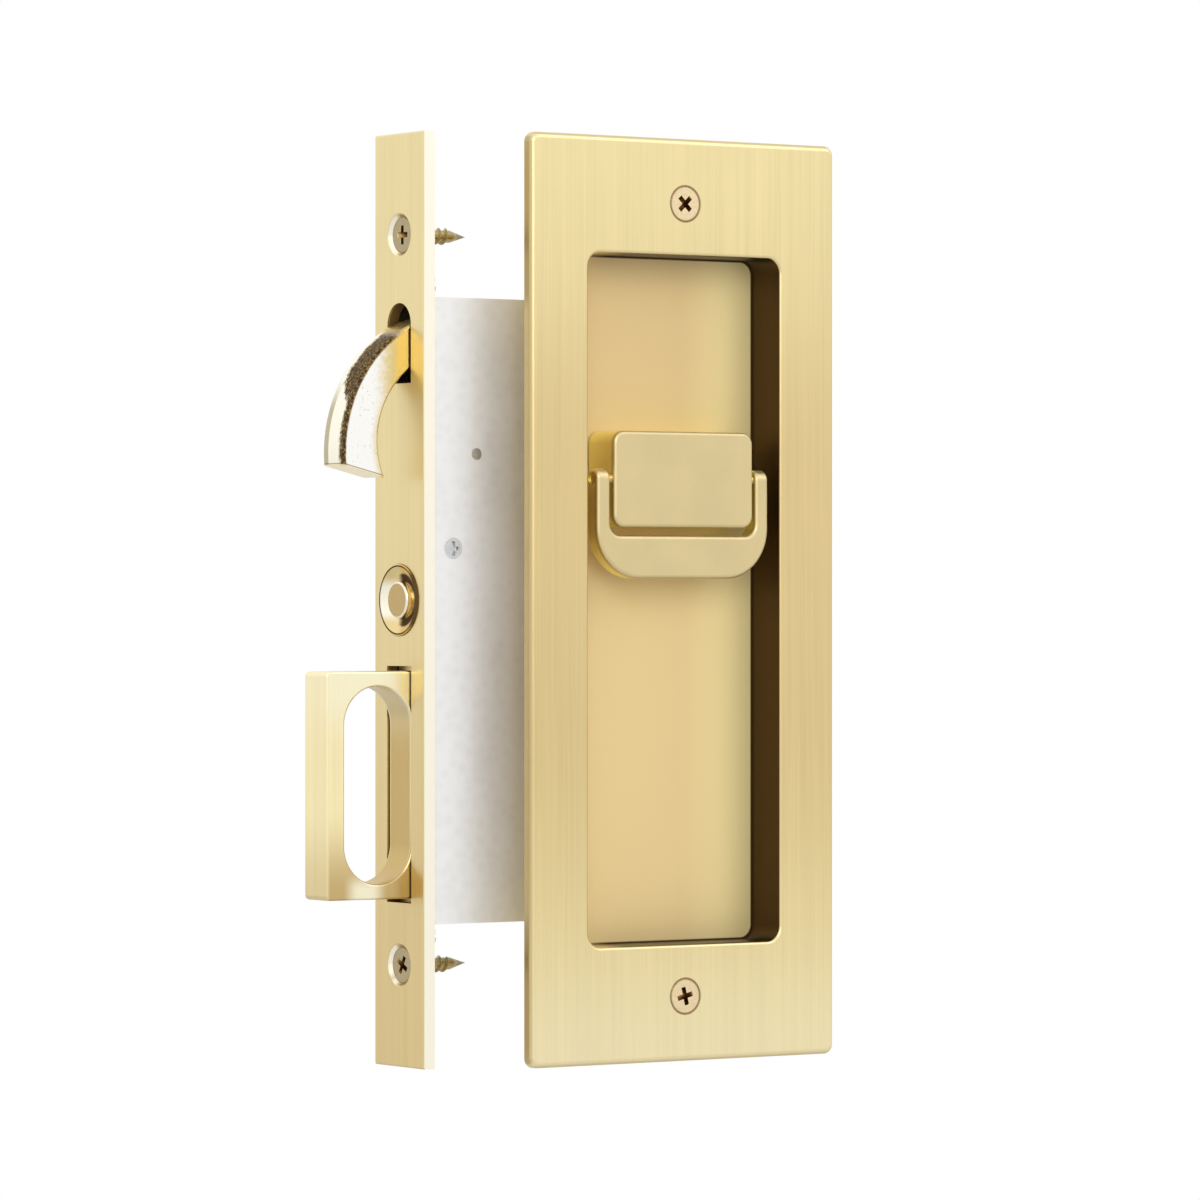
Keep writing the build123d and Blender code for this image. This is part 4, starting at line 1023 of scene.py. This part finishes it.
class LOCKSET_OT_case(bpy.types.Operator):
    """Finish the case and what it holds"""

    bl_idname = "lockset.case"
    bl_label = "Lock case"

    def execute(self, context):
        finishes = context.scene.lockset_finishes
        dress(zinc_plate(finishes), "lock_case", "case_cover", "rod_guide", "button_guide")
        steel = bright_steel("inner_steel", finishes.steel, 0.24)
        dress(steel, "case_posts", "cover_screws", "flange_screws", "hook_pivot", "tail_pin", "crank_pin")
        dress(steel, "drive_link", "hub", "spindle", "catch_slide", "catch_posts", "spring_posts")
        dress(steel, "pull_rod", "cam_pin", "turn_ring")
        return {"FINISHED"}


class LOCKSET_OT_stage(bpy.types.Operator):
    """Set up the floor, the light and the camera"""

    bl_idname = "lockset.stage"
    bl_label = "Stage"

    def execute(self, context):
        stage = context.scene.lockset_stage
        back = Vector((sin(stage.azimuth), -cos(stage.azimuth), 0))
        self.floor(context, CAD_BOX[0].z - stage.floor_drop)
        self.surroundings(context, stage, back)
        self.lamps(context, stage)
        camera = bpy.data.objects.new("camera", bpy.data.cameras.new("camera"))
        camera.data.lens = stage.lens
        camera.data.sensor_width = 36
        camera.data.clip_start = 0.01
        camera.location = Vector(stage.aim) + back * stage.distance
        camera.rotation_euler = (-back).to_track_quat("-Z", "Y").to_euler()
        context.scene.collection.objects.link(camera)
        context.scene.camera = camera
        context.scene.view_settings.view_transform = "Standard"
        return {"FINISHED"}

    def floor(self, context, height):
        """A pale round floor below the object."""
        bm = bmesh.new()
        bmesh.ops.create_circle(bm, segments=96, radius=FLOOR_R, cap_ends=True)
        bmesh.ops.translate(bm, verts=bm.verts, vec=(FLOOR_X, 0, height))
        mesh = bpy.data.meshes.new("floor")
        bm.to_mesh(mesh)
        bm.free()
        paper, place = new_material("floor_paper")
        color = place.noise(300.0, 3.0).blend((0.90, 0.90, 0.90), (0.94, 0.94, 0.94))
        shader = place.node("ShaderNodeBsdfPrincipled", None, {"Base Color": color, "Roughness": 0.8})
        place.node("ShaderNodeOutputMaterial", None, {"Surface": shader})
        mesh.materials.append(paper)
        floor = bpy.data.objects.new("floor", mesh)
        context.scene.collection.objects.link(floor)

    def surroundings(self, context, stage, back):
        """White to the camera and in reflections, dim in the room behind the camera."""
        world = bpy.data.worlds.new("studio")
        world.use_nodes = True
        world.node_tree.nodes.clear()
        start = Wire(world.node_tree)
        way = start.node("ShaderNodeTexCoord", None, None, "Generated")
        rays = start.node("ShaderNodeLightPath").socket.node.outputs
        toward = way.node("ShaderNodeVectorMath", {"operation": "DOT_PRODUCT"}, {0: way, 1: back}, "Value")

        # Brighter above, and dimmer behind the camera
        level = way.split()[2].ease(-0.6, 0.35) * 0.3 + 0.74
        level = level * (1 - toward.ease(0.7, 0.97) * stage.dim_share)

        seen = Wire(world.node_tree, rays["Is Camera Ray"])
        glossy = Wire(world.node_tree, rays["Is Glossy Ray"])
        clear = Wire(world.node_tree, rays["Is Transmission Ray"])
        mirrored = glossy.at_least(clear)
        strength = seen + (1 - seen) * (mirrored * level + (1 - mirrored) * stage.ambient)
        shader = start.node("ShaderNodeBackground", None, {"Color": (1, 1, 1), "Strength": strength})
        start.node("ShaderNodeOutputWorld", None, {"Surface": shader})
        context.scene.world = world

    def lamps(self, context, stage):
        """A soft key from the right and a small fill from the left."""
        for name, place, size, power in LAMPS:
            lamp = bpy.data.lights.new(name, "AREA")
            lamp.size = size
            lamp.energy = power
            made = bpy.data.objects.new(name, lamp)
            made.location = place
            made.rotation_euler = (Vector(stage.aim) - Vector(place)).to_track_quat("-Z", "Y").to_euler()
            context.scene.collection.objects.link(made)


class LOCKSET_PT_panel(bpy.types.Panel):
    """Lists the steps of the lockset"""

    bl_label = "Pocket door lockset"
    bl_idname = "LOCKSET_PT_panel"
    bl_space_type = "VIEW_3D"
    bl_region_type = "UI"
    bl_category = "Lockset"

    def draw(self, context):
        for operator in STEPS:
            self.layout.operator(operator.bl_idname)
        for group in (context.scene.lockset_finishes, context.scene.lockset_screws, context.scene.lockset_stage):
            box = self.layout.box()
            for name in group.__annotations__:
                box.prop(group, name)


GROUPS = (LocksetFinishes, LocksetScrews, LocksetStage)
STEPS = (
    LOCKSET_OT_plates,
    LOCKSET_OT_turn,
    LOCKSET_OT_hook,
    LOCKSET_OT_button,
    LOCKSET_OT_screws,
    LOCKSET_OT_springs,
    LOCKSET_OT_case,
    LOCKSET_OT_stage,
)


def register():
    for made in (*GROUPS, *STEPS, LOCKSET_PT_panel):
        bpy.utils.register_class(made)
    bpy.types.Scene.lockset_finishes = bpy.props.PointerProperty(type=LocksetFinishes)
    bpy.types.Scene.lockset_screws = bpy.props.PointerProperty(type=LocksetScrews)
    bpy.types.Scene.lockset_stage = bpy.props.PointerProperty(type=LocksetStage)


def unregister():
    del bpy.types.Scene.lockset_stage
    del bpy.types.Scene.lockset_screws
    del bpy.types.Scene.lockset_finishes
    for made in reversed((*GROUPS, *STEPS, LOCKSET_PT_panel)):
        bpy.utils.unregister_class(made)


def main():
    register()
    bpy.ops.lockset.plates()
    bpy.ops.lockset.turn()
    bpy.ops.lockset.hook()
    bpy.ops.lockset.button()
    bpy.ops.lockset.screws()
    bpy.ops.lockset.springs()
    bpy.ops.lockset.case()
    bpy.ops.lockset.stage()


if __name__ == "__main__":
    main()
